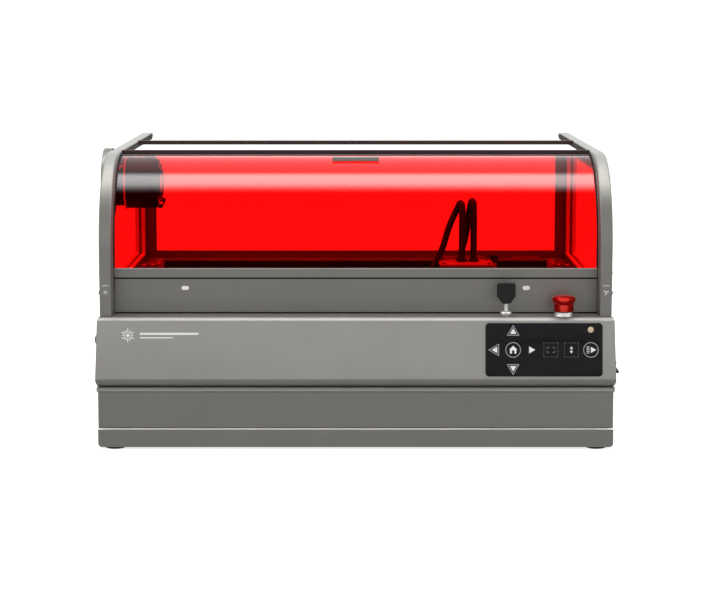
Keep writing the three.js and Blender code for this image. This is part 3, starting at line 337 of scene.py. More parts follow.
SEAL_RED = surface("red_seal", rgb(0.9, 0.06, 0.05), 0.6, grain=700, grain_depth=0.04, mottle=0.08)
BRASS = surface("contact_brass", rgb(0.6, 0.42, 0.16), 0.3, 1.0, grain=700, mottle=0.06)
CAPACITOR = surface("component_blue", rgb(0.03, 0.05, 0.12), 0.4, grain=900, mottle=0.1)
BOARD = circuit_board_finish("circuit_board")
CABLE = braided_finish("cable_black")
RED_SHEET = tinted_sheet("red_sheet", rgb(0.995, 0.23, 0.225), 1.5)
SIDE_SHEET = tinted_sheet("side_sheet", rgb(0.985, 0.24, 0.24), 0.3)


# ---------------------------------------------------------------- shape helpers, in millimetres

def arc(cu, cv, radius, start, end, steps):
    """Points on an arc between two angles in degrees, both ends included."""
    angles = [math.radians(start + (end - start) * step / steps) for step in range(steps + 1)]
    return [(cu + radius * math.cos(angle), cv + radius * math.sin(angle)) for angle in angles]


def rounded_rectangle(u0, u1, v0, v1, radius, steps=6):
    corners = ((u1, v0, -90), (u1, v1, 0), (u0, v1, 90), (u0, v0, 180))
    points = []
    for u, v, start in corners:
        cu = u - radius if u == u1 else u + radius
        cv = v - radius if v == v1 else v + radius
        points += arc(cu, cv, radius, start, start + 90, steps)
    return points


def regular(radius, sides, turn=0.0, cu=0.0, cv=0.0):
    """A regular polygon, its first corner at the angle turn in degrees."""
    return arc(cu, cv, radius, turn, turn + 360, sides)[:-1]


def placed(axis, u, v, w):
    """(u, v) in the plane across an axis and w along it, as a point of the machine."""
    if axis == "x":
        return Vector((w, u, v))
    if axis == "y":
        return Vector((u, w, v))
    return Vector((u, v, w))


class Shape:
    """A mesh under construction, in millimetres, with a material number for each of its parts."""

    def __init__(self):
        self.bm = bmesh.new()

    def polygon(self, vertices, material):
        face = self.bm.faces.new(vertices)
        face.material_index = material

    def loft(self, loops, material=0, closed=False):
        """Joins loops of equal length; the ends are capped unless the loft is closed on itself."""
        rows = [[self.bm.verts.new(point) for point in loop] for loop in loops]
        count = len(rows[0])
        pairs = list(zip(rows, rows[1:]))
        if closed:
            pairs.append((rows[-1], rows[0]))
        for near, far in pairs:
            for index in range(count):
                following = (index + 1) % count
                self.polygon((near[index], near[following], far[following], far[index]), material)
        if not closed:
            self.polygon(list(reversed(rows[0])), material)
            self.polygon(rows[-1], material)
        return self

    def block(self, x, y, z, material=0, matrix=None):
        """x, y and z are (low, high) pairs."""
        loops = [[Vector((u, v, w)) for u, v in ((x[0], y[0]), (x[1], y[0]), (x[1], y[1]), (x[0], y[1]))]
                 for w in z]
        if matrix:
            loops = [[matrix @ point for point in loop] for loop in loops]
        return self.loft(loops, material)

    def prism(self, outline, axis, low, high, material=0):
        return self.loft([[placed(axis, u, v, w) for u, v in outline] for w in (low, high)], material)

    def ring(self, outer, inner, axis, low, high, material=0):
        """A flat ring between two outlines with the same number of points."""
        loops = [[placed(axis, u, v, w) for u, v in outline]
                 for outline, w in ((outer, low), (outer, high), (inner, high), (inner, low))]
        return self.loft(loops, material, closed=True)

    def turned(self, axis, centre, profile, material=0, segments=48, hexagonal=()):
        """A closed turned profile of (radius, along) pairs. Rows named in hexagonal are six-sided."""
        loops = []
        for row, (radius, along) in enumerate(profile):
            loop = []
            for step in range(segments):
                angle = 2 * math.pi * step / segments
                reach = max(radius, 0.002)
                if row in hexagonal:
                    reach *= math.cos(math.pi / 6) / math.cos(angle % (math.pi / 3) - math.pi / 6)
                loop.append(placed(axis, reach * math.cos(angle), reach * math.sin(angle), along)
                            + Vector(centre))
            loops.append(loop)
        touches_axis = profile[0][0] == 0 and profile[-1][0] == 0
        return self.loft(loops, material, closed=not touches_axis)

    def piece(self, name, body, materials, slot=None, bevel=0.0, segments=2, replaces=(), weld=1e-4):
        bm = self.bm
        bmesh.ops.remove_doubles(bm, verts=bm.verts, dist=weld)
        bmesh.ops.recalc_face_normals(bm, faces=bm.faces)
        bmesh.ops.scale(bm, verts=bm.verts, vec=(MM, MM, MM))
        mesh = bpy.data.meshes.new(name)
        bm.to_mesh(mesh)
        bm.free()
        return add_piece(name, mesh, body, materials, bevel, segments, replaces)


def add_piece(name, mesh, body, materials, bevel=0.0, segments=2, replaces=()):
    """Puts a finished mesh in the scene, riding on its body."""
    for material in materials:
        mesh.materials.append(material)
    mesh.shade_smooth()
    if not bevel:
        mesh.set_sharp_from_angle(angle=SHARP_ANGLE)
    piece = bpy.data.objects.new(name, mesh)
    bpy.context.scene.collection.objects.link(piece)
    if bevel:
        rounding = piece.modifiers.new("edge", "BEVEL")
        rounding.width = bevel * MM
        rounding.segments = segments
        rounding.limit_method = "ANGLE"
        rounding.angle_limit = SHARP_ANGLE
        rounding.harden_normals = True
    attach(piece, body)
    if replaces:
        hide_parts(*replaces)
    return piece


def curve_mesh(curve):
    """The mesh of a curve, with its doubled points joined and its flat areas made whole."""
    holder = bpy.data.objects.new("outline", curve)
    bpy.context.scene.collection.objects.link(holder)
    bpy.context.view_layer.update()
    mesh = bpy.data.meshes.new_from_object(holder)
    bpy.data.objects.remove(holder)
    bpy.data.curves.remove(curve)
    return mesh


def plate(name, body, outlines, axis, low, high, materials, edge=0.3, replaces=()):
    """A flat plate across an axis with rounded edges. The outlines after the first are holes."""
    curve = bpy.data.curves.new("outline", "CURVE")
    curve.dimensions = "2D"
    curve.fill_mode = "BOTH"
    curve.extrude = ((high - low) / 2 - edge) * MM
    curve.bevel_depth = edge * MM
    curve.bevel_resolution = 2
    curve.offset = -edge * MM
    for outline in outlines:
        spline = curve.splines.new("POLY")
        spline.points.add(len(outline) - 1)
        for point, (u, v) in zip(spline.points, outline):
            point.co = (u * MM, v * MM, 0, 1)
        spline.use_cyclic_u = True
    mesh = curve_mesh(curve)
    bm = bmesh.new()
    bm.from_mesh(mesh)
    middle = (low + high) / 2 * MM
    for vertex in bm.verts:
        u, v, w = vertex.co
        vertex.co = placed(axis, u, v, w + middle)
    bmesh.ops.remove_doubles(bm, verts=bm.verts, dist=2e-6)
    bmesh.ops.dissolve_limit(bm, angle_limit=math.radians(0.5), verts=bm.verts, edges=bm.edges)
    bmesh.ops.recalc_face_normals(bm, faces=bm.faces)
    bm.to_mesh(mesh)
    bm.free()
    mesh.name = name
    mesh.materials.clear()
    return add_piece(name, mesh, body, materials, replaces=replaces)


def cable(name, body, points, radius, materials, replaces=()):
    """A round cable through a few points."""
    curve = bpy.data.curves.new("path", "CURVE")
    curve.dimensions = "3D"
    curve.bevel_depth = radius * MM
    curve.bevel_resolution = 5
    curve.resolution_u = 14
    curve.use_fill_caps = True
    spline = curve.splines.new("BEZIER")
    spline.bezier_points.add(len(points) - 1)
    for knot, place in zip(spline.bezier_points, points):
        knot.co = Vector(place) * MM
        knot.handle_left_type = "AUTO"
        knot.handle_right_type = "AUTO"
    mesh = curve_mesh(curve)
    mesh.name = name
    mesh.materials.clear()
    return add_piece(name, mesh, body, materials, replaces=replaces)


def refined(node, materials, bevel=0.5, segments=2, paint=None, cuts=()):
    """A CAD node with its flat areas made whole and its edges rounded.

    cuts are (axis, place) planes that split the faces, and paint gives each face's material number
    from its middle, in millimetres.
    """
    source = frame["nodes"][node].data
    bm = bmesh.new()
    vertices = [bm.verts.new(vertex.co) for vertex in source.vertices]
    for face in source.polygons:
        bm.faces.new([vertices[index] for index in face.vertices])
    bmesh.ops.remove_doubles(bm, verts=bm.verts, dist=1e-5)
    bmesh.ops.dissolve_limit(bm, angle_limit=math.radians(0.4), verts=bm.verts, edges=bm.edges)
    for axis, place in cuts:
        across = Vector([1.0 if letter == axis else 0.0 for letter in AXES])
        everything = bm.verts[:] + bm.edges[:] + bm.faces[:]
        bmesh.ops.bisect_plane(bm, geom=everything, plane_co=across * place * MM, plane_no=across)
    bmesh.ops.recalc_face_normals(bm, faces=bm.faces)
    if paint:
        for face in bm.faces:
            face.material_index = paint(face.calc_center_median() / MM, face.normal)
    mesh = bpy.data.meshes.new(node + "_finish")
    bm.to_mesh(mesh)
    bm.free()
    return add_piece(node + "_finish", mesh, body_of_node(node), materials, bevel, segments, (node,))


# ---------------------------------------------------------------- cheeks, windows and gaskets

def opening_limits(inset):
    """The side opening's front, back, sill and top, and the radii of its two top corners."""
    window = Box("side_window_right")
    clearance = 0.4
    near = window.y0 - clearance + inset
    far = window.y1 + clearance - inset
    low = window.z0 - clearance + inset
    high = window.z1 + clearance - inset
    return near, far, low, high, high - ARCH_SPRINGING, 16 - inset


def side_opening(inset, spigot=None):
    """The side opening's outline in (Y, Z). A spigot is (y, z, radius, bulges outwards or inwards)."""
    near, far, low, high, bend, corner = opening_limits(inset)
    points = [(near, low), (far, low)]
    points += arc(far - corner, high - corner, corner, 0, 90, 8)
    if spigot:
        y, z, radius, outwards = spigot
        edge_angle = math.degrees(math.asin((high - z) / radius))
        start, end = (edge_angle, 180 - edge_angle) if outwards else (edge_angle, -180 - edge_angle)
        points += arc(y, z, radius, start, end, 40)
    points += arc(near + bend, ARCH_SPRINGING, bend, 90, 180, ARCH_STEPS)
    return points


def gasket_line(inset, gap):
    """The line of a window gasket in (Y, Z); a gap is (middle, half width) on the top edge."""
    near, far, low, high, bend, corner = opening_limits(inset)
    line = arc(near + bend, ARCH_SPRINGING, bend, 90, 180, ARCH_STEPS) + [(near, low), (far, low)]
    line += arc(far - corner, high - corner, corner, 0, 90, 8)
    if gap:
        return [(gap[0] - gap[1], high)] + line + [(gap[0] + gap[1], high)]
    return line


def beside_opening(y, z):
    """Whether a place is in the side opening or on its rounded edge."""
    near, far, low, high, bend, corner = opening_limits(-CHEEK_EDGE - 0.3)
    past_arch = z < ARCH_SPRINGING or y > near + bend
    in_arch = past_arch or math.hypot(y - near - bend, z - ARCH_SPRINGING) < bend
    return near < y < far and low < z < high and in_arch


def cheek_outline(cheek):
    bend = cheek.z1 - ARCH_SPRINGING
    rear = 28
    points = [(cheek.y0, cheek.z0), (cheek.y1, cheek.z0)]
    points += arc(cheek.y1 - rear, cheek.z1 - rear, rear, 0, 90, 16)
    points += arc(cheek.y0 + bend, ARCH_SPRINGING, bend, 90, 180, ARCH_STEPS)
    return points


def window_trim(name, low, high, gap):
    """A pale strip that holds a side window, between two places along X."""
    loops = []
    for (y, z), (inner_y, inner_z) in zip(gasket_line(0.1, gap), gasket_line(3.4, gap)):
        loops.append([Vector(place) for place in
                      ((low, y, z), (high, y, z), (high, inner_y, inner_z), (low, inner_y, inner_z))])
    Shape().loft(loops, closed=gap is None).piece(name, "machine", [PALE_TRIM], "grey_paint", 0.6)


def window_stop(name, low, high):
    """A black strip behind the front edge of a side opening, where the lid's edge meets it: painted shade that
    darkens the cheek's inner wall there.
    """
    near, far, sill, top, bend, corner = opening_limits(0.1)
    width = 8
    outline = [(near, sill)] + arc(near + bend, ARCH_SPRINGING, bend, 180, 140, 14)
    outline += arc(near + bend, ARCH_SPRINGING, bend - width, 140, 180, 14) + [(near + width, sill)]
    Shape().prism(outline, "x", low, high).piece(name, "machine", [CHAMBER_BLACK_AND_SHADE], "rubber", 0.3)


def cheeks_and_side_windows():
    blower = Box("exhaust_blower_housing")
    passage = 30.6
    edge_gap = 0.3
    for side, name in ((-1, "left"), (1, "right")):
        cheek = Box("cheek_" + name)
        window = Box("side_window_" + name)
        spigot = (blower.cy, blower.cz, passage) if side < 0 else None
        bulge = spigot + (True,) if spigot else None
        bite = spigot + (False,) if spigot else None
        shell = plate(f"cheek_{name}_shell", "machine", [cheek_outline(cheek), side_opening(0, bulge)], "x",
                      cheek.x0, cheek.x1, [TOP_LIT_CHEEK_GREY, CHAMBER_BLACK_AND_SHADE], CHEEK_EDGE,
                      (f"cheek_{name}",))
        for face in shell.data.polygons:
            on_edge = 0.05 < -face.normal.x * side < 0.99
            in_opening = beside_opening(face.center.y / MM, face.center.z / MM)
            face.material_index = 1 if on_edge and in_opening else 0
        plate(f"side_window_{name}_sheet", "machine", [side_opening(0.4, bite)], "x",
              window.x0, window.x1, [SIDE_SHEET], 0.4, (f"side_window_{name}",))
        gap = (blower.cy, 20) if spigot else None
        window_trim(f"window_trim_{name}_low", cheek.x0 + 0.6, window.x0 - edge_gap, gap)
        window_trim(f"window_trim_{name}_high", window.x1 + edge_gap, cheek.x1 - 0.6, gap)
        inner_face = cheek.x1 if side < 0 else cheek.x0
        pane = window.x1 if side < 0 else window.x0
        window_stop(f"window_stop_{name}", *sorted((inner_face + side * 0.1, pane - side * 0.2)))


CHEEK_SCREW_PLACES = ((-276, 218), (-235, 334), (275, 218), (275, 335), (-60, 178), (130, 178))


def screw(shape, axis, centre, facing, radius=3.0, height=1.6):
    """A button-head screw with a hexagonal socket."""
    profile = [(0, 0), (radius, 0), (radius, 0.35 * height), (0.85 * radius, 0.8 * height),
               (0.6 * radius, height), (0.55 * radius, height), (0.55 * radius, 0.3 * height),
               (0, 0.3 * height)]
    shape.turned(axis, centre, [(reach, facing * along) for reach, along in profile], segments=24,
                 hexagonal=(5, 6))


def side_screws():
    for side, name in ((-1, "left"), (1, "right")):
        cheek = Box("cheek_" + name)
        outer = cheek.x0 if side < 0 else cheek.x1
        shape = Shape()
        for y, z in CHEEK_SCREW_PLACES:
            screw(shape, "x", (outer, y, z), side)
        shape.piece(f"cheek_screws_{name}", "machine", [BLACK_METAL], "black_metal")


def printed_marks():
    """A sun beside the light slider and a fan beside the other one, with a dash over each."""
    cheek = Box("cheek_right")
    middle = (cheek.x0 + cheek.x1) / 2
    face = (cheek.y0 - 0.1, cheek.y0 + 0.05)
    for side, name in ((-1, "light"), (1, "fan")):
        centre = Vector((side * middle, 0, 195.5))
        shape = Shape()
        shape.block((centre.x - 4, centre.x + 4), face, (203.4, 204.1))
        turns = 8 if name == "light" else 3
        for step in range(turns):
            turn = Matrix.Translation(centre) @ Matrix.Rotation(2 * math.pi * step / turns, 4, "Y")
            if name == "light":
                shape.block((1.9, 3.0), face, (-0.22, 0.22), 0, turn)
            else:
                shape.block((0.9, 3.0), face, (0.0, 1.5), 0, turn)
        shape.turned("y", (centre.x, 0, centre.z), [(0, face[0]), (1.1 if turns > 3 else 0.6, face[0]),
                     (1.1 if turns > 3 else 0.6, face[1]), (0, face[1])], segments=24)
        shape.piece(f"{name}_slider_mark", "machine", [WHITE_PRINT])


# ---------------------------------------------------------------- casings

def casings():
    front_panel = Box("upper_front_panel")
    cheek = Box("cheek_right")
    chamber_side = cheek.x0 - 0.2
    housing = Box("main_housing")
    base = Box("base_housing")
    rear_deck = Box("rear_deck")

    top_shade = 1.1

    def housing_paint(middle, normal):
        # Painted light on the leaning front: its flat face takes the lighter copy of the grey, and the rounded
        # top edge above the shade line takes the darker grey as painted shade.
        if middle.y < housing.y0 + 15 and normal.y < -0.3 and middle.z > 92:
            if normal.y < -0.9:
                return 2
            return 3 if middle.z > housing.z1 - top_shade else 0
        inside = abs(middle.x) < chamber_side and front_panel.y0 < middle.y < rear_deck.y0 + 2
        return 1 if inside and housing.z0 + 0.5 < middle.z < housing.z1 + 1 else 0

    lit_line = (74.6, 76.2)

    def kerb_paint(middle, normal):
        # Painted highlight: the kerb's slope and a thin band above the drawer take the brighter grey.
        if normal.y > -0.3 or middle.y > base.y0 + 5:
            return 0
        on_slope = normal.z > 0.3 and middle.z < base.z0 + 26
        return 1 if on_slope or lit_line[0] < middle.z < lit_line[1] else 0

    refined("main_housing", [GREY, CHAMBER_BLACK_AND_SHADE, PAINTED_LIGHT_GREY, FRAME_AND_SHADE_GREY], 0.6, 3, housing_paint,
            (("z", housing.z1 - top_shade), ("x", -chamber_side), ("x", chamber_side), ("y", front_panel.y0), ("y", rear_deck.y0 + 2)))
    refined("base_housing", [GREY, PAINTED_HIGHLIGHT_GREY], 0.4, 2, kerb_paint,
            (("z", lit_line[0]), ("z", lit_line[1])))
    drawer = Box("drawer_front")
    seam_shade = 1.2

    def drawer_paint(middle, normal):
        # Painted shade: the band along the drawer front's top, under the lip, takes the darker grey.
        return 1 if middle.z > drawer.z1 - seam_shade and normal.y < -0.3 else 0

    refined("drawer_front", [GREY, FRAME_AND_SHADE_GREY], 0.4, 2, drawer_paint,
            (("z", drawer.z1 - seam_shade),))
    refined("drawer_tray", [DARK], 0.4)
    refined("upper_front_panel", [GREY], 0.5)
    refined("rear_deck", [GREY], 0.8)
    refined("rear_crossbar", [GREY], 0.8)
    refined("rear_frame", [FRAME_AND_SHADE_GREY], 0.6)
    glass = Box("rear_window")
    outline = rounded_rectangle(glass.x0, glass.x1, glass.z0, glass.z1, 1.5)
    plate("rear_window_sheet", "machine", [outline], "y", glass.y0, glass.y1, [SIDE_SHEET],
          0.4, ("rear_window",))
    panel_seals(front_panel, cheek.x0)
    for side, name in ((-1, "left"), (1, "right")):
        lens = rounded_rectangle(side * 215 - 4.7, side * 215 + 4.7, 194.4, 199.8, 2.7)
        plate(f"front_lens_{name}", "machine", [lens], "y", front_panel.y0 - 0.3, front_panel.y0 + 1.5,
              [PALE_LENS], 0.3)


def panel_seals(panel, cheek_face):
    """Black strips that keep stray light from the seams round the upper front panel."""
    seal = Shape()
    back = panel.y0 + 2.8
    depth = (back, back + 1.2)
    end = cheek_face - 0.05
    seal.block((-end, end), depth, (panel.z0 - 1.4, panel.z0 + 3))
    seal.block((-267, 267), depth, (panel.z0 - 5, panel.z0 - 1.6))
    for side in (-1, 1):
        seal.block(sorted((side * (panel.x1 - 5), side * end)), depth, (panel.z0 + 3, panel.z1 - 2.6))
    seal.block((panel.x0, panel.x1), (panel.y0 + 0.4, panel.y0 + 2.4), (panel.z1 - 0.2, panel.z1 + 1.2))
    seal.piece("front_seam_seals", "machine", [RUBBER], "rubber", 0.15)


def feet():
    for node in ("foot_front_left", "foot_front_right", "foot_rear_left", "foot_rear_right"):
        foot = Box(node)
        radius = (foot.x1 - foot.x0) / 2
        profile = [(0, 0), (radius - 4, 0), (radius - 3.4, 0.5), (radius - 2.6, 0.5), (radius - 2, 0),
                   (radius - 1, 0), (radius - 0.3, 0.4), (radius, 1), (radius, foot.z1), (0, foot.z1)]
        Shape().turned("z", (foot.cx, foot.cy, 0), profile).piece(
            node + "_pad", "machine", [RUBBER], "rubber", replaces=(node,))


# ---------------------------------------------------------------- lid

def lid():
    sheet = Box("lid_window")
    radius = sheet.z1 - ARCH_SPRINGING
    outer = [(sheet.y0, sheet.z0)]
    arch = arc(sheet.y0 + radius, ARCH_SPRINGING, radius, 180, 90, ARCH_STEPS + 8)
    inner_arch = arc(sheet.y0 + radius, ARCH_SPRINGING, radius - SHEET, 90, 180, ARCH_STEPS + 8)
    outline = outer + arch + [(sheet.y1, sheet.z1), (sheet.y1, sheet.z1 - SHEET)] + inner_arch
    outline.append((sheet.y0 + SHEET, sheet.z0))
    Shape().prism(outline, "x", sheet.x0, sheet.x1).piece(
        "lid_sheet", "lid", [RED_SHEET], "red_sheet", 0.5, replaces=("lid_window",))
    rail = Box("lid_front_rail")
    seal_height = 1.0
    lit_strip = 1.2

    def rail_paint(middle, normal):
        if middle.z < rail.z0 + seal_height:
            return 2
        # Painted highlight: a strip along the rail's top edge takes the brighter grey.
        return 1 if middle.z > rail.z1 - lit_strip and normal.y < -0.3 else 0

    refined("lid_front_rail", [GREY, PAINTED_HIGHLIGHT_GREY, RUBBER], 0.3, 2, rail_paint,
            (("z", rail.z0 + seal_height), ("z", rail.z1 - lit_strip)))
    for node in ("lid_front_rib", "lid_rear_rib"):
        # The polished top would show each rib twice.
        refined(node, [RIB_BROWN], 0.6).visible_glossy = False
    lid_seals(sheet, radius, rail.z0)
    refined("lid_hinge_bar", [BLACK_METAL], 0.4)
    lid_grip(sheet, radius)


def lid_seals(sheet, radius, low):
    """Thin black strips on the lid's two side edges, which also rise above the lid as painted shade on the
    cheeks' inner walls, and a printed band in front of the first rib.
    """
    # The seals' rise above the sheet is painted shade on the cheek's inner wall.
    rise_in_front = 1.0
    rise_on_top = 4.0
    back = Box("lid_hinge_bar").y0 - 0.5
    bend = sheet.y0 + radius
    outline = [(sheet.y0 - rise_in_front - 1.2, low + 0.2), (sheet.y0 - rise_in_front, ARCH_SPRINGING - 20)]
    for step in range(ARCH_STEPS + 1):
        share = step / ARCH_STEPS
        reach = radius + rise_in_front + (rise_on_top - rise_in_front) * share ** 2
        angle = math.pi * (1 - share / 2)
        outline.append((bend + reach * math.cos(angle), ARCH_SPRINGING + reach * math.sin(angle)))
    outline.append((back, sheet.z1 + rise_on_top))
    outline += [(back, sheet.z1 - SHEET)] + arc(bend, ARCH_SPRINGING, radius - SHEET, 90, 180, ARCH_STEPS)
    outline.append((sheet.y0 + SHEET, low + 0.2))
    for side, name in ((-1, "left"), (1, "right")):
        across = sorted((side * (sheet.x1 - 0.9), side * (sheet.x1 + 0.25)))
        Shape().prism(outline, "x", *across).piece(f"lid_seal_{name}", "lid", [RUBBER], "rubber", 0.1)
    rib = Box("lid_front_rib")
    start = math.degrees(math.acos((rib.y0 - 9 - bend) / radius))
    end = math.degrees(math.acos((rib.y0 + 1 - bend) / radius))
    band = arc(bend, ARCH_SPRINGING, radius + 0.45, start, end, 6)
    band += arc(bend, ARCH_SPRINGING, radius + 0.1, end, start, 6)
    Shape().prism(band, "x", sheet.x0 + 1, sheet.x1 - 1).piece("lid_printed_band", "lid", [RIB_BROWN])


def lid_grip(sheet, radius):
    """A short bar on the front of the arch, to lift the lid by."""
    half_length = 30
    front = sheet.y0 + 71.5
    back = front + 9
    top = 357.2

    def sheet_top(y):
        return ARCH_SPRINGING + math.sqrt(radius ** 2 - (sheet.y0 + radius - y) ** 2)

    outline = [(front, sheet_top(front) + 0.2), (back, sheet_top(back) + 0.2), (back, top), (front, top)]
    Shape().prism(outline, "x", -half_length, half_length).piece("lid_grip", "lid", [GREY], "grey_paint",
                                                                 0.9, 3)


# ---------------------------------------------------------------- controls

def key_lock_and_key():
    lock = Box("key_lock")
    flange = (lock.x1 - lock.x0) / 2
    base = Box("main_housing").z1
    profile = [(3, lock.z0), (5, lock.z0), (5, base + 0.3), (flange - 2.5, base + 0.3),
               (flange - 0.9, base + 1.6), (flange, base + 3.6), (flange, base + 4.8),
               (flange - 0.8, base + 5.8), (flange - 2.4, base + 6), (3, base + 6)]
    Shape().turned("z", (lock.cx, lock.cy, 0), profile).piece(
        "key_lock_barrel", "machine", [STEEL], "bright_steel", replaces=("key_lock",))
    key = Box("key")
    half = (key.x1 - key.x0) / 2
    shape = Shape()
    head = [(-4.8, 16), (4.8, 16), (half, 25)]
    head += arc(half - 2.5, 38.9, 2.5, 0, 90, 6)
    head += arc(2.5 - half, 38.9, 2.5, 90, 180, 6)
    head.append((-half, 25))
    outline = [(u + key.cx, v + base) for u, v in head]
    shape.prism(outline, "y", key.cy - 3, key.cy + 3)
    core = 2.4
    ridge = 3.0
    ridges = [(0, -8), (core, -8)]
    for step in range(5):
        height = 6.5 + 2 * step
        ridges += [(core, height), (ridge, height + 0.4), (ridge, height + 1.2), (core, height + 1.6)]
    ridges += [(core, 17), (0, 17)]
    shape.turned("z", (key.cx, key.cy, base), ridges, material=1, segments=32)
    shape.piece("key_with_head", "key", [BLACK_PLASTIC, STEEL], "black_plastic", 0.5, 2, ("key",))


def stop_button():
    collar = Box("estop_collar")
    head = Box("estop_head")
    base = Box("main_housing").z1
    rim = (collar.x1 - collar.x0) / 2
    profile = [(4.5, collar.z0), (8, collar.z0), (8, base + 0.3), (rim + 1, base + 0.3),
               (rim + 1, base + 1.8), (rim + 0.6, base + 2.2), (rim, base + 2.3), (rim, base + 4.6),
               (rim - 0.8, base + 5.9), (rim - 1.6, base + 6.2), (4.5, base + 6.2)]
    Shape().turned("z", (collar.cx, collar.cy, 0), profile, segments=64).piece(
        "estop_collar_ring", "machine", [STEEL], "bright_steel", replaces=("estop_collar",))
    cap = (head.x1 - head.x0) / 2
    profile = [(0, -10), (4, -10), (4, 11), (rim + 0.4, 11), (rim + 0.4, 6.7), (rim + 1.1, 6.7),
               (12.5, 7.4), (12.4, 15.2), (12.0, 15.6), (12.6, 16.2), (13.8, 18.4), (cap, 20.6), (cap, 22.6),
               (cap - 0.5, 24.0), (cap - 1.6, 24.9), (cap - 3.2, 25.4), (cap - 3.8, 25.1),
               (cap - 4.2, 25.6), (8, 26.4), (4, 26.7), (0, 26.8)]
    Shape().turned("z", (head.cx, head.cy, base), profile, segments=72).piece(
        "estop_head_cap", "estop_button", [RED_PLASTIC], "red_button", replaces=("estop_head",))


def panel_matrix():
    """From the panel's own frame (right, up the face, out of the face) to the machine's."""
    inward = Vector(joint_named("panel_key_home_press")["axis"])
    outward = -inward.normalized()
    right = Vector((1, 0, 0))
    up = outward.cross(right)
    plate_box = Box("control_fascia")
    slab_middle = 0.9
    origin = Vector((plate_box.cx, plate_box.cy, plate_box.cz)) - outward * slab_middle
    matrix = Matrix((right, up, outward)).transposed().to_4x4()
    matrix.translation = origin
    return matrix


def triangle(radius, turn):
    return regular(radius, 3, turn)


ARROW_TURN = {"up": 90, "down": -90, "left": 180, "right": 0}
ARROW_RADIUS = 9.1
PLAIN_ARROW_RADIUS = 5.4
ROUND_KEY_RADIUS = 9.7
SQUARE_KEY_HALF = 9.5
KEY_FACE = 1.5
PRINT = 0.12


def key_outline(name, grow=0.0):
    if name in ARROW_TURN:
        radius = PLAIN_ARROW_RADIUS if name == "right" else ARROW_RADIUS
        return triangle(radius + 2 * grow, ARROW_TURN[name])
    if name in ("home", "start"):
        return regular(ROUND_KEY_RADIUS + grow, 64)
    half = SQUARE_KEY_HALF + grow
    return rounded_rectangle(-half, half, -half, half, 1.5)


def print_symbol(shape, name):
    """The white symbol on a key's face, in the key's own frame."""
    top = (KEY_FACE - 0.02, KEY_FACE + PRINT)
    white = 1
    dim = 2
    soft = 3
    if name == "right":
        shape.prism(triangle(PLAIN_ARROW_RADIUS - 0.3, 0), "z", *top, white)
        return
    if name in ARROW_TURN:
        turn = ARROW_TURN[name]
        shape.ring(triangle(ARROW_RADIUS - 0.3, turn), triangle(ARROW_RADIUS - 1.9, turn), "z", *top, soft)
        shape.prism(triangle(4.6, turn), "z", *top, white)
        return
    if name in ("home", "start"):
        shape.ring(regular(ROUND_KEY_RADIUS - 0.2, 64), regular(ROUND_KEY_RADIUS - 1.0, 64), "z", *top, soft)
    if name == "home":
        house = [(-4.0, -4.6), (-1.5, -4.6), (-1.5, -0.6), (1.5, -0.6), (1.5, -4.6), (4.0, -4.6),
                 (4.0, 0.4), (5.1, 0.4), (0.0, 5.2), (-5.1, 0.4), (-4.0, 0.4)]
        shape.prism(house, "z", *top, white)
    if name == "start":
        shape.prism([(u + 2.2, v) for u, v in triangle(4.4, 0)], "z", *top, white)
        for rung in range(5):
            height = -3.8 + 1.9 * rung
            shape.block((-5.4, -1.6), (height - 0.35, height + 0.35), top, white)
    if name in ("frame", "height"):
        half = SQUARE_KEY_HALF - 0.7
        for side in range(4):
            turn = Matrix.Rotation(side * math.pi / 2, 4, "Z")
            for dash in range(6):
                middle = -half + 0.9 + dash * (2 * half - 1.8) / 5
                shape.block((middle - 0.75, middle + 0.75), (half - 0.3, half + 0.3), top, dim, turn)
    if name == "frame":
        for su in (-1, 1):
            for sv in (-1, 1):
                corner = [(su * 5, sv * 3.4), (su * 2.2, sv * 3.4), (su * 2.2, sv * 2.6),
                          (su * 4.2, sv * 2.6), (su * 4.2, sv * 1.2), (su * 5, sv * 1.2)]
                shape.prism(corner, "z", *top, dim)
    if name == "height":
        for turn, height in ((90, 2.2), (-90, -2.2)):
            shape.prism([(u, v + height) for u, v in triangle(2.3, turn)], "z", *top, white)


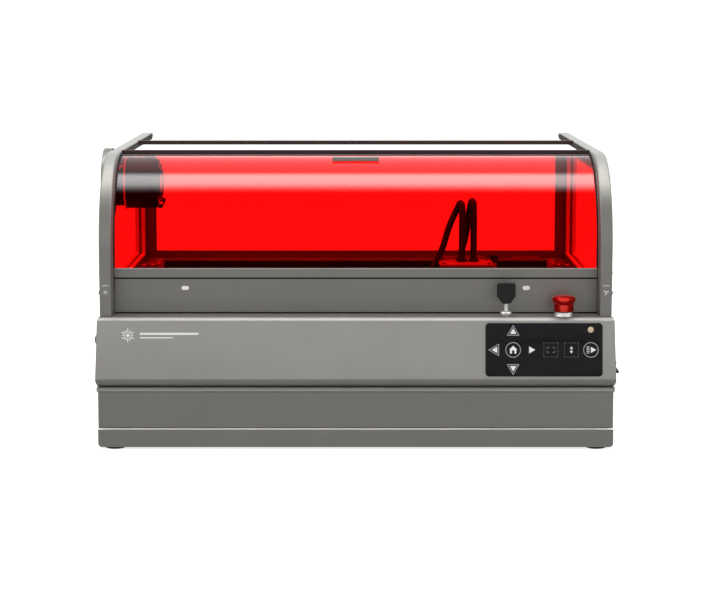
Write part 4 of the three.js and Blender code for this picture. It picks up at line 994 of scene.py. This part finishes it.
def control_panel():
    matrix = panel_matrix()
    fascia = Box("control_fascia")
    width = fascia.x1 - fascia.x0
    height = 66.5
    names = ("up", "down", "left", "right", "home", "frame", "height", "start")
    centres = {}
    to_panel = matrix.inverted()
    for name in names:
        key = Box("panel_key_" + name)
        centre = to_panel @ Vector((key.cx, key.cy, key.cz))
        outline = key_outline(name)
        middle_u = (min(u for u, _ in outline) + max(u for u, _ in outline)) / 2
        middle_v = (min(v for _, v in outline) + max(v for _, v in outline)) / 2
        centres[name] = (centre.x - middle_u, centre.y - middle_v)
    outer = rounded_rectangle(-width / 2, width / 2, -height / 2, height / 2, 4.6, 10)
    holes = [[(u + centres[name][0], v + centres[name][1]) for u, v in key_outline(name, 0.3)]
             for name in names]
    board = plate("fascia_plate", "machine", [outer] + holes, "z", 0.3, KEY_FACE, [PANEL_BLACK],
                  0.2, ("control_fascia",))
    place_in_panel(board, matrix)
    for name in names:
        shape = Shape()
        shape.prism(key_outline(name), "z", -1.6, KEY_FACE)
        print_symbol(shape, name)
        u, v = centres[name]
        bmesh.ops.transform(shape.bm, matrix=matrix @ Matrix.Translation((u, v, 0)), verts=shape.bm.verts)
        shape.piece(f"key_cap_{name}", "panel_key_" + name, [PANEL_BLACK, WHITE_PRINT, DIM_PRINT, SOFT_PRINT],
                    "panel_black", replaces=("panel_key_" + name,), weld=1e-5)
    lamp = Shape()
    lamp.turned("z", (58.0, 25.0, 0), [(0, 1.4), (3.7, 1.4), (3.7, 1.6), (3.2, 2.0), (1.8, 2.3), (0, 2.4)],
                segments=40)
    bmesh.ops.transform(lamp.bm, matrix=matrix, verts=lamp.bm.verts)
    lamp.piece("status_lamp", "machine", [LAMP])


def front_emblem():
    """A generic burst and two bars, printed on the left of the leaning front."""
    matrix = panel_matrix()
    face = (0.0, 0.12)
    shape = Shape()
    burst = (-518, 18)
    for step in range(12):
        turn = Matrix.Translation((*burst, 0)) @ Matrix.Rotation(step * math.pi / 6, 4, "Z")
        shape.block((3.6, 8.6 if step % 2 else 6.8), (-0.6, 0.6), face, 0, turn)
    shape.prism([(u + burst[0], v + burst[1]) for u, v in regular(2.2, 24)], "z", *face)
    shape.block((burst[0] + 15, burst[0] + 88), (burst[1] + 0.6, burst[1] + 3.2), face)
    shape.block((burst[0] + 15, burst[0] + 56), (burst[1] - 3.8, burst[1] - 2.4), face)
    bmesh.ops.transform(shape.bm, matrix=matrix, verts=shape.bm.verts)
    shape.piece("front_emblem", "machine", [WHITE_PRINT])


def place_in_panel(piece, matrix):
    """Moves a plate that was made in the panel's own frame to its place on the machine."""
    moved = Matrix.Scale(MM, 4) @ matrix @ Matrix.Scale(1 / MM, 4)
    piece.data.transform(moved)


def rocker_and_sliders():
    rocker = Box("power_rocker")
    housing_side = Box("main_housing").x1
    lower_tip = housing_side + 5.3
    rocker_side = [(rocker.x0, rocker.z0 + 0.3), (housing_side, rocker.z0 + 0.3), (lower_tip, rocker.z0 + 1.4),
                   (lower_tip, rocker.z0 + 2.8), (rocker.x1 - 1, rocker.cz + 1), (rocker.x1 - 0.6, rocker.z1),
                   (rocker.x0, rocker.z1)]
    Shape().prism(rocker_side, "y", rocker.y0, rocker.y1).piece(
        "power_rocker_cap", "power_rocker", [BLACK_PLASTIC], "black_plastic", 0.6, 3, ("power_rocker",))
    outer = rounded_rectangle(rocker.y0 - 2.2, rocker.y1 + 2.2, rocker.z0 - 2.4, rocker.z1 + 2.4, 1.5)
    inner = rounded_rectangle(rocker.y0 - 0.6, rocker.y1 + 0.6, rocker.z0 - 1.1, rocker.z1 + 1.1, 0.6)
    Shape().ring(outer, inner, "x", housing_side - 1.6, housing_side + 0.5).piece(
        "rocker_bezel", "machine", [BLACK_PLASTIC], "black_plastic", 0.3)
    for node in ("light_slider", "fan_slider"):
        refined(node, [BLACK_PLASTIC], 0.4)
    port = Box("air_port")
    radius = (port.z1 - port.z0) / 2
    profile = [(2.2, port.x0), (3.4, port.x0), (radius - 1.6, port.x0 + 0.6), (radius - 1, port.x0 + 2.6),
               (radius, port.x0 + 2.6), (radius, port.x0 + 4.2), (4.6, port.x0 + 4.2), (4.6, port.x1),
               (2.2, port.x1)]
    Shape().turned("x", (0, port.cy, port.cz), profile).piece(
        "air_port_fitting", "machine", [BLACK_PLASTIC], "black_plastic", replaces=("air_port",))


# ---------------------------------------------------------------- drives and head

def stadium(x0, x1, z, radius, steps=12):
    """The outline of a belt's loop round two equal pulleys."""
    return arc(x1, z, radius, -90, 90, steps) + arc(x0, z, radius, 90, 270, steps)


def belts():
    shaft = Box("y_drive_shaft")
    pulley = Box("x_drive_pulley")
    rail = Box("y_rail_right")
    beam = Box("x_beam")
    pulley_radius = 6
    thickness = 1.2
    belt_width = 5
    front_idler = rail.y0 + 12
    for side, name in ((-1, "left"), (1, "right")):
        middle = side * 271
        across = (middle - belt_width / 2, middle + belt_width / 2)
        Shape().ring(stadium(front_idler, shaft.cy, shaft.cz, pulley_radius + thickness),
                     stadium(front_idler, shaft.cy, shaft.cz, pulley_radius + 0.05), "x", *across).piece(
            f"y_belt_{name}", "machine", [BELT], "rubber")
        idler = Shape()
        rims = [(1.5, -3.4), (7, -3.4), (7, -2.6), (6, -2.6), (6, 2.6), (7, 2.6), (7, 3.4), (1.5, 3.4)]
        idler.turned("x", (middle, front_idler, shaft.cz), rims)
        idler.turned("x", (middle, front_idler, shaft.cz), [(0, -4.4), (1.4, -4.4), (1.4, 5.4), (0, 5.4)],
                     segments=20)
        wall = sorted((side * 275.4, side * (rail.x0 - 0.1)))
        idler.block(wall, (front_idler - 9, front_idler + 9), (rail.z0 + 1, rail.z1 - 2), 1)
        idler.piece(f"y_belt_idler_{name}", "machine", [STEEL, BLACK_METAL], "bright_steel")
    idler_x = beam.x0 + 16
    belt_y = pulley.y0 + 3.5
    Shape().ring(stadium(idler_x, pulley.cx, pulley.cz, pulley_radius + thickness),
                 stadium(idler_x, pulley.cx, pulley.cz, pulley_radius + 0.05), "y",
                 belt_y - belt_width / 2, belt_y + belt_width / 2).piece("x_belt", "gantry", [BELT], "rubber")
    idler = Shape()
    rims = [(1.5, -3.2), (7, -3.2), (7, -2.6), (6, -2.6), (6, 2.6), (7, 2.6), (7, 3.2), (1.5, 3.2)]
    idler.turned("y", (idler_x, belt_y, pulley.cz), rims)
    idler.turned("y", (idler_x, belt_y, pulley.cz), [(0, -4.6), (1.4, -4.6), (1.4, 8), (0, 8)], segments=20)
    idler.piece("x_belt_idler", "gantry", [STEEL], "bright_steel")


def motion_system():
    for node in ("y_rail_left", "y_rail_right"):
        refined(node, [ALUMINIUM], 0.35)
    refined("x_beam", [BLACK_METAL], 0.35)
    refined("gantry_plate_left", [BLACK_METAL], 0.6)
    refined("gantry_plate_right", [BLACK_METAL], 0.6)
    refined("carriage_plate", [BLACK_METAL], 0.5)
    refined("y_drive_shaft", [STEEL], 0.2)
    refined("x_drive_pulley", [STEEL], 0.2)
    cap = 9
    for node, axis, ends in (("y_motor", "x", ALUMINIUM), ("x_motor", "y", BLACK_PLASTIC)):
        motor = Box(node)
        low, high = (motor.x0, motor.x1) if axis == "x" else (motor.y0, motor.y1)

        def motor_paint(middle, normal, axis=axis, low=low, high=high):
            along = middle.x if axis == "x" else middle.y
            return 1 if along < low + cap or along > high - cap else 0

        refined(node, [BLACK_METAL, ends], 0.7, 2, motor_paint,
                ((axis, low + cap), (axis, high - cap)))
    for side, name in ((-1, "left"), (1, "right")):
        shape = Shape()
        end_plate = Box("gantry_plate_" + name)
        for x in (side * 281, side * 293):
            for y in (end_plate.y0 + 8, end_plate.y1 - 8):
                screw(shape, "z", (x, y, end_plate.z1), 1, 2.6)
        shape.piece(f"gantry_screws_{name}", "gantry", [STEEL], "bright_steel")


def laser_head():
    module = Box("laser_module")
    nozzle = Box("laser_nozzle")
    middle = Vector((nozzle.cx, nozzle.cy, 0))
    refined("laser_module", [BLACK_METAL], 0.5)
    refined("laser_nozzle", [STEEL], 0.3)
    refined("laser_fan", [BLACK_PLASTIC], 0.25)
    screw_box = Box("focus_screw")

    def screw_paint(place, normal):
        return 1 if place.z > screw_box.z1 - 7 else 0

    refined("focus_screw", [STEEL, BLACK_PLASTIC], 0.3, 2, screw_paint)
    cover_top = module.z1 + 3.4
    cover_middle = middle + Vector((0, 2.3, 0))
    outline = rounded_rectangle(middle.x - 36, middle.x + 36, cover_middle.y - 30.7, cover_middle.y + 30.7, 5, 8)
    plate("laser_cover", "laser_head", [outline], "z", module.z1 + 0.3, cover_top, [PALE_COVER],
          0.6)
    shape = Shape()
    for side_x in (-1, 1):
        for side_y in (-1, 1):
            screw(shape, "z", cover_middle + Vector((30 * side_x, 25.5 * side_y, cover_top)), 1, 2.2, 1.3)
    shape.piece("laser_cover_screws", "laser_head", [BLACK_METAL], "black_metal")
    head = Vector((nozzle.cx, Box("x_beam").cy, Box("x_beam").z0 + 17))
    power = [(-4.8, -54, 19.5), (-4.8, -54, 60), (-4.9, -53.5, 87), (-6.6, -48, 100), (-10.5, -42, 93),
             (-20.9, -41, 70), (-31.7, -41, 36), (-42, -43, 14), (-47, -45, 0)]
    air = [(10.8, -52, 19.5), (10.8, -52, 60), (10.6, -51.5, 89), (9.2, -45, 102.5), (6.2, -39, 93),
           (3.1, -38, 70), (-0.4, -38, 50), (-5, -38, 33), (-6, -38, 19.5)]
    for name, path in (("power_cable", power), ("air_hose", air)):
        cable(name + "_sleeve", "laser_head", [head + Vector(point) for point in path], 4.5, [CABLE],
              (name,))
    shape = Shape()
    for point in (power[0], air[0], air[-1]):
        gland = [(4.3, 0), (7, 0), (7, 2.2), (6, 3.4), (4.3, 3.4)]
        centre = head + Vector(point)
        centre.z = cover_top
        shape.turned("z", centre, gland, segments=32)
    plug = head + Vector(power[-1])
    shape.block((plug.x - 6, plug.x + 7), (plug.y - 6, plug.y + 6), (plug.z - 14, plug.z + 2))
    shape.piece("cable_glands", "laser_head", [BLACK_PLASTIC], "black_plastic", 0.4)
    fan = Box("laser_fan")
    guard = Shape()
    for radius in (8, 13, 18.4):
        guard.ring([(u + fan.cx, v + fan.cz) for u, v in regular(radius + 0.5, 40)],
                   [(u + fan.cx, v + fan.cz) for u, v in regular(radius - 0.5, 40)], "y",
                   module.y0 - 1.4, module.y0 - 0.4)
    for step in range(4):
        turn = (Matrix.Translation(Vector((fan.cx, 0, fan.cz)))
                @ Matrix.Rotation(math.pi / 4 + step * math.pi / 2, 4, "Y"))
        guard.block((6, 21), (module.y0 - 1.2, module.y0 - 0.6), (-0.5, 0.5), 0, turn)
    guard.piece("laser_fan_guard", "laser_head", [STEEL], "bright_steel")


def bed():
    frame_box = Box("work_bed")
    refined("work_bed", [ALUMINIUM], 0.3)
    pitch = 6
    depth = 3
    slats = 17
    front = frame_box.y0 + 7
    teeth = int((frame_box.y1 - 7 - front) / pitch)
    shape = Shape()
    for slat in range(slats):
        x = 30 * (slat - (slats - 1) / 2)
        outline = [(front, frame_box.z1 - 0.6)]
        for tooth in range(teeth):
            y = front + pitch * tooth
            outline += [(y + 0.6, frame_box.z1 - 0.4), (y + pitch / 2, frame_box.z1 + depth)]
        outline += [(front + pitch * teeth, frame_box.z1 - 0.4), (front + pitch * teeth, frame_box.z1 - 1.6),
                    (front, frame_box.z1 - 1.6)]
        shape.prism(outline, "x", x - 0.8, x + 0.8)
    shape.piece("bed_slat_teeth", "machine", [ALUMINIUM], "bare_aluminium")


def electronics():
    refined("power_supply", [ALUMINIUM], 0.5)
    board_box = Box("control_board")
    board_top = board_box.z0 + 8

    def board_paint(place, normal):
        if place.z < board_top + 0.1:
            return 0
        return 1 if place.x < -180 or place.x > -120 else 2

    refined("control_board", [BOARD, BLACK_PLASTIC, CAPACITOR], 0.3, 2, board_paint,
            (("z", board_top + 0.05),))
    housing = Box("main_housing")
    inlet = Shape()
    outer = rounded_rectangle(-281, -241, 91, 125, 4)
    room = rounded_rectangle(-274, -248, 98.5, 117.5, 3)
    inlet.ring(outer, room, "y", housing.y1 + 0.1, housing.y1 + 2)
    well = rounded_rectangle(-275.4, -246.6, 96.6, 119.4, 3)
    inlet.ring(well, room, "y", housing.y1 - 14, housing.y1 + 0.1)
    inlet.prism(rounded_rectangle(-275, -247, 97, 119, 3), "y", housing.y1 - 16, housing.y1 - 14.2)
    for x, z in ((-267, 111), (-255, 111), (-261, 103)):
        inlet.block((x - 1, x + 1), (housing.y1 - 14.2, housing.y1 - 2), (z - 2.4, z + 2.4), 1)
    inlet.piece("mains_inlet", "machine", [BLACK_PLASTIC, BRASS], "black_plastic", 0.3)
    shape = Shape()
    for x in (-281 + 3.4, -241 - 3.4):
        screw(shape, "y", (x, housing.y1 + 2, 108), 1, 2.0, 1.2)
    deck = Box("rear_deck")
    crossbar = Box("rear_crossbar")
    for x in (-285, -95, 95, 285):
        screw(shape, "z", (x, deck.cy + 40, deck.z1), 1)
        screw(shape, "z", (x, crossbar.cy, crossbar.z1), 1)
        screw(shape, "y", (x, crossbar.y1, crossbar.cz), 1)
    shape.piece("rear_screws", "machine", [BLACK_METAL], "black_metal")


def blower():
    drum = Box("exhaust_blower_housing")
    cheek = Box("cheek_left")
    inner = drum.x1
    wall = cheek.x1
    seat = cheek.x0 - 0.3
    radius = 33.2
    profile = [(40, drum.x0), (44.4, drum.x0), (45.5, drum.x0 + 0.5), (46, drum.x0 + 1.6), (46, seat),
               (30, seat), (30, wall + 0.3), (radius, wall + 0.3), (radius, wall + 7.4),
               (radius - 0.9, wall + 7.8), (radius - 0.9, wall + 8.8), (radius, wall + 9.2),
               (radius, inner - 3), (radius - 0.7, inner - 1), (radius - 2.4, inner), (18, inner),
               (18, inner - 3), (30.6, inner - 3), (30.6, wall + 4.4), (26, wall + 4.4),
               (26, seat - 3), (40, seat - 3)]
    shape = Shape()
    shape.turned("x", (0, drum.cy, drum.cz), profile, segments=72)
    centre = Vector((0, drum.cy, drum.cz))
    for spoke in range(3):
        turn = Matrix.Translation(centre) @ Matrix.Rotation(spoke * math.pi / 3, 4, "X")
        shape.block((inner - 2.6, inner - 0.3), (-19, 19), (-1.1, 1.1), 0, turn)
    for spoke in range(4):
        turn = Matrix.Translation(centre) @ Matrix.Rotation(spoke * math.pi / 4, 4, "X")
        shape.block((cheek.x0 + 0.6, cheek.x0 + 3), (-27, 27), (-1.1, 1.1), 0, turn)
    for ring in (6, 12):
        shape.ring([(u + drum.cy, v + drum.cz) for u, v in regular(ring + 0.8, 40)],
                   [(u + drum.cy, v + drum.cz) for u, v in regular(ring - 0.8, 40)],
                   "x", inner - 2.4, inner - 0.5)
    for face in shape.bm.faces:
        middle = face.calc_center_median()
        outside = math.hypot(middle.y - drum.cy, middle.z - drum.cz) > 42 or middle.x < drum.x0 + 0.1
        face.material_index = 1 if middle.x < seat + 0.1 and outside else 0
    shape.piece("blower_drum", "machine", [BLACK_PLASTIC, GREY], "black_plastic",
                replaces=("exhaust_blower_housing",))
    Shape().turned("x", (0, drum.cy, drum.cz), [(radius + 0.05, wall + 0.6), (radius + 0.7, wall + 0.6),
                   (radius + 0.9, wall + 1.7), (radius + 0.7, wall + 2.8), (radius + 0.05, wall + 2.8)],
                   segments=72).piece("blower_seal_ring", "machine", [SEAL_RED], "rubber")
    inlet_guard(drum, radius)
    refined("exhaust_impeller", [BLACK_PLASTIC], 0.4)
    lead = [(inner - 6, drum.cy + 12, drum.cz - 32), (inner + 1, drum.cy + 24, drum.cz - 33),
            (inner + 2, drum.cy + 60, drum.cz - 28), (inner - 24, drum.cy + 150, drum.cz - 26),
            (inner - 29, drum.cy + 272, drum.cz - 26)]
    cable("blower_lead", "machine", lead, 1.4, [BLACK_PLASTIC])
    clips = Shape()
    for point in lead[1:3]:
        clips.block((point[0] - 2.6, point[0] + 2.6), (point[1] - 3, point[1] + 3),
                    (point[2] - 2.4, point[2] + 2.4))
    clips.piece("blower_lead_clips", "machine", [BLACK_PLASTIC], "black_plastic", 0.6)


def inlet_guard(drum, radius):
    """A bulging wire guard over the blower's inlet."""
    wire = 0.7
    guard = Shape()
    for reach, bulge in ((radius - 2.5, 1.2), (radius - 9, 4.2), (radius - 16, 5.6)):
        guard.turned("x", (drum.x1 + bulge, drum.cy, drum.cz),
                     [(reach + wire * math.cos(angle), wire * math.sin(angle))
                      for angle in (math.pi * step / 4 for step in range(8))], segments=60)
    guard.piece("inlet_guard", "machine", [BLACK_METAL], "black_metal")


# ---------------------------------------------------------------- camera, light and ground

HOUSING_FRONT = -310
CAMERA_SIDE = -0.9
CAMERA_HEIGHT = 541.5
CAMERA_BACK = 2601
CAMERA_TILT = 7.726
LENS = 107.5


def camera():
    data = bpy.data.cameras.new("camera")
    data.lens = LENS
    data.sensor_width = 36
    data.clip_end = 50
    eye = bpy.data.objects.new("camera", data)
    eye.location = Vector((CAMERA_SIDE, HOUSING_FRONT - CAMERA_BACK, CAMERA_HEIGHT)) * MM
    eye.rotation_euler = (math.radians(90 - CAMERA_TILT), 0, 0)
    bpy.context.scene.collection.objects.link(eye)
    bpy.context.scene.camera = eye


SOFTBOX_HEIGHT = 2.0
SOFTBOX_HALF_WIDTH = 2.1
SOFTBOX_FRONT = -1.0
SOFTBOX_PEAK = -0.14
SOFTBOX_EDGE = -0.02
SOFTBOX_BACK = 0.36
SOFTBOX_REAR = 0.6
SOFTBOX_STRENGTH = 6.7


def softbox():
    """A glowing panel over the machine, brightest across its middle and fading to its edges."""
    mesh = bpy.data.meshes.new("overhead_softbox")
    half = SOFTBOX_HALF_WIDTH
    corners = [(-half, SOFTBOX_FRONT, SOFTBOX_HEIGHT), (-half, SOFTBOX_REAR, SOFTBOX_HEIGHT),
               (half, SOFTBOX_REAR, SOFTBOX_HEIGHT), (half, SOFTBOX_FRONT, SOFTBOX_HEIGHT)]
    mesh.from_pydata(corners, [], [(0, 1, 2, 3)])
    material = bpy.data.materials.new("softbox_glow")
    graph = Graph(material)
    place = graph.add("SeparateXYZ", Vector=graph.add("TexCoord").outputs["Object"])
    reach = graph.math("ABSOLUTE", place.outputs[0])
    share = graph.smooth_step(reach, 0.6 * half, half, 1.0, 0.0)
    for profile in ((SOFTBOX_FRONT, SOFTBOX_PEAK, 0.0, 1.0), (SOFTBOX_EDGE, SOFTBOX_BACK, 1.0, 0.0)):
        share = graph.math("MULTIPLY", share, graph.smooth_step(place.outputs[1], *profile))
    rear = graph.smooth_step(place.outputs[1], -0.1, 0.3, 0.0, REAR_LEVEL)
    strength = graph.math("ADD", graph.math("MULTIPLY", share, SOFTBOX_STRENGTH), rear)
    glow = graph.add("Emission", Strength=strength)
    output = graph.add("OutputMaterial")
    graph.feed(output, "Surface", glow.outputs[0])
    mesh.materials.append(material)
    panel = bpy.data.objects.new("overhead_softbox", mesh)
    panel.visible_camera = False
    bpy.context.scene.collection.objects.link(panel)


REAR_LEVEL = 0.7
REAR_BAND = 1.3
FRONT_BAND = 1.05
FRONT_LEVEL = 0.22


def room():
    """White for the camera; for the rest a dim room with a bright band low down all round."""
    world = bpy.data.worlds.new("studio")
    bpy.context.scene.world = world
    graph = Graph(world)
    seen = graph.add("LightPath").outputs["Is Camera Ray"]
    way = graph.add("SeparateXYZ", Vector=graph.add("TexCoord").outputs["Generated"])
    height = way.outputs[2]
    front = graph.smooth_step(way.outputs[1], -0.25, 0.1, 1.0, 0.0)
    front_level = graph.smooth_step(height, 0.3, 0.62, FRONT_BAND, FRONT_LEVEL)
    rear_level = graph.smooth_step(height, 0.2, 0.55, REAR_BAND, REAR_LEVEL)
    rear_share = graph.math("SUBTRACT", 1.0, front)
    level = graph.math("ADD", graph.math("MULTIPLY", front, front_level),
                       graph.math("MULTIPLY", rear_share, rear_level))
    sky = graph.add("Background", Color=rgb(1, 1, 1), Strength=graph.math("MAXIMUM", level, seen))
    output = graph.add("OutputWorld")
    graph.feed(output, "Surface", sky.outputs[0])


def floor():
    """A pale floor that burns out to white and looks dim in the machine's own reflections."""
    mesh = bpy.data.meshes.new("floor")
    reach = 12
    mesh.from_pydata([(-reach, -reach, 0), (reach, -reach, 0), (reach, reach, 0), (-reach, reach, 0)],
                     [], [(0, 1, 2, 3)])
    material = bpy.data.materials.new("pale_floor")
    graph = Graph(material)
    ray = graph.add("LightPath")
    diffuse = graph.add("BsdfDiffuse", Color=rgb(0.8, 0.8, 0.8))
    lift = graph.add("Emission", Strength=graph.math("MULTIPLY", ray.outputs["Is Camera Ray"], 0.75))
    seen = graph.add("AddShader")
    graph.feed(seen, "0", diffuse.outputs[0])
    graph.feed(seen, "1", lift.outputs[0])
    away = graph.add("SeparateXYZ", Vector=graph.add("TexCoord").outputs["Object"]).outputs[1]
    dim = graph.add("Emission", Strength=graph.smooth_step(away, -1.5, -0.4, 0.5, 0.4))
    mix = graph.add("MixShader")
    graph.feed(mix, "0", ray.outputs["Is Glossy Ray"])
    graph.feed(mix, "1", seen.outputs[0])
    graph.feed(mix, "2", dim.outputs[0])
    output = graph.add("OutputMaterial")
    graph.feed(output, "Surface", mix.outputs[0])
    mesh.materials.append(material)
    ground = bpy.data.objects.new("floor", mesh)
    bpy.context.scene.collection.objects.link(ground)


cheeks_and_side_windows()
side_screws()
printed_marks()
casings()
feet()
lid()
key_lock_and_key()
stop_button()
control_panel()
front_emblem()
rocker_and_sliders()
motion_system()
belts()
laser_head()
bed()
electronics()
blower()
camera()
softbox()
room()
floor()
bpy.context.scene.view_settings.view_transform = "Standard"
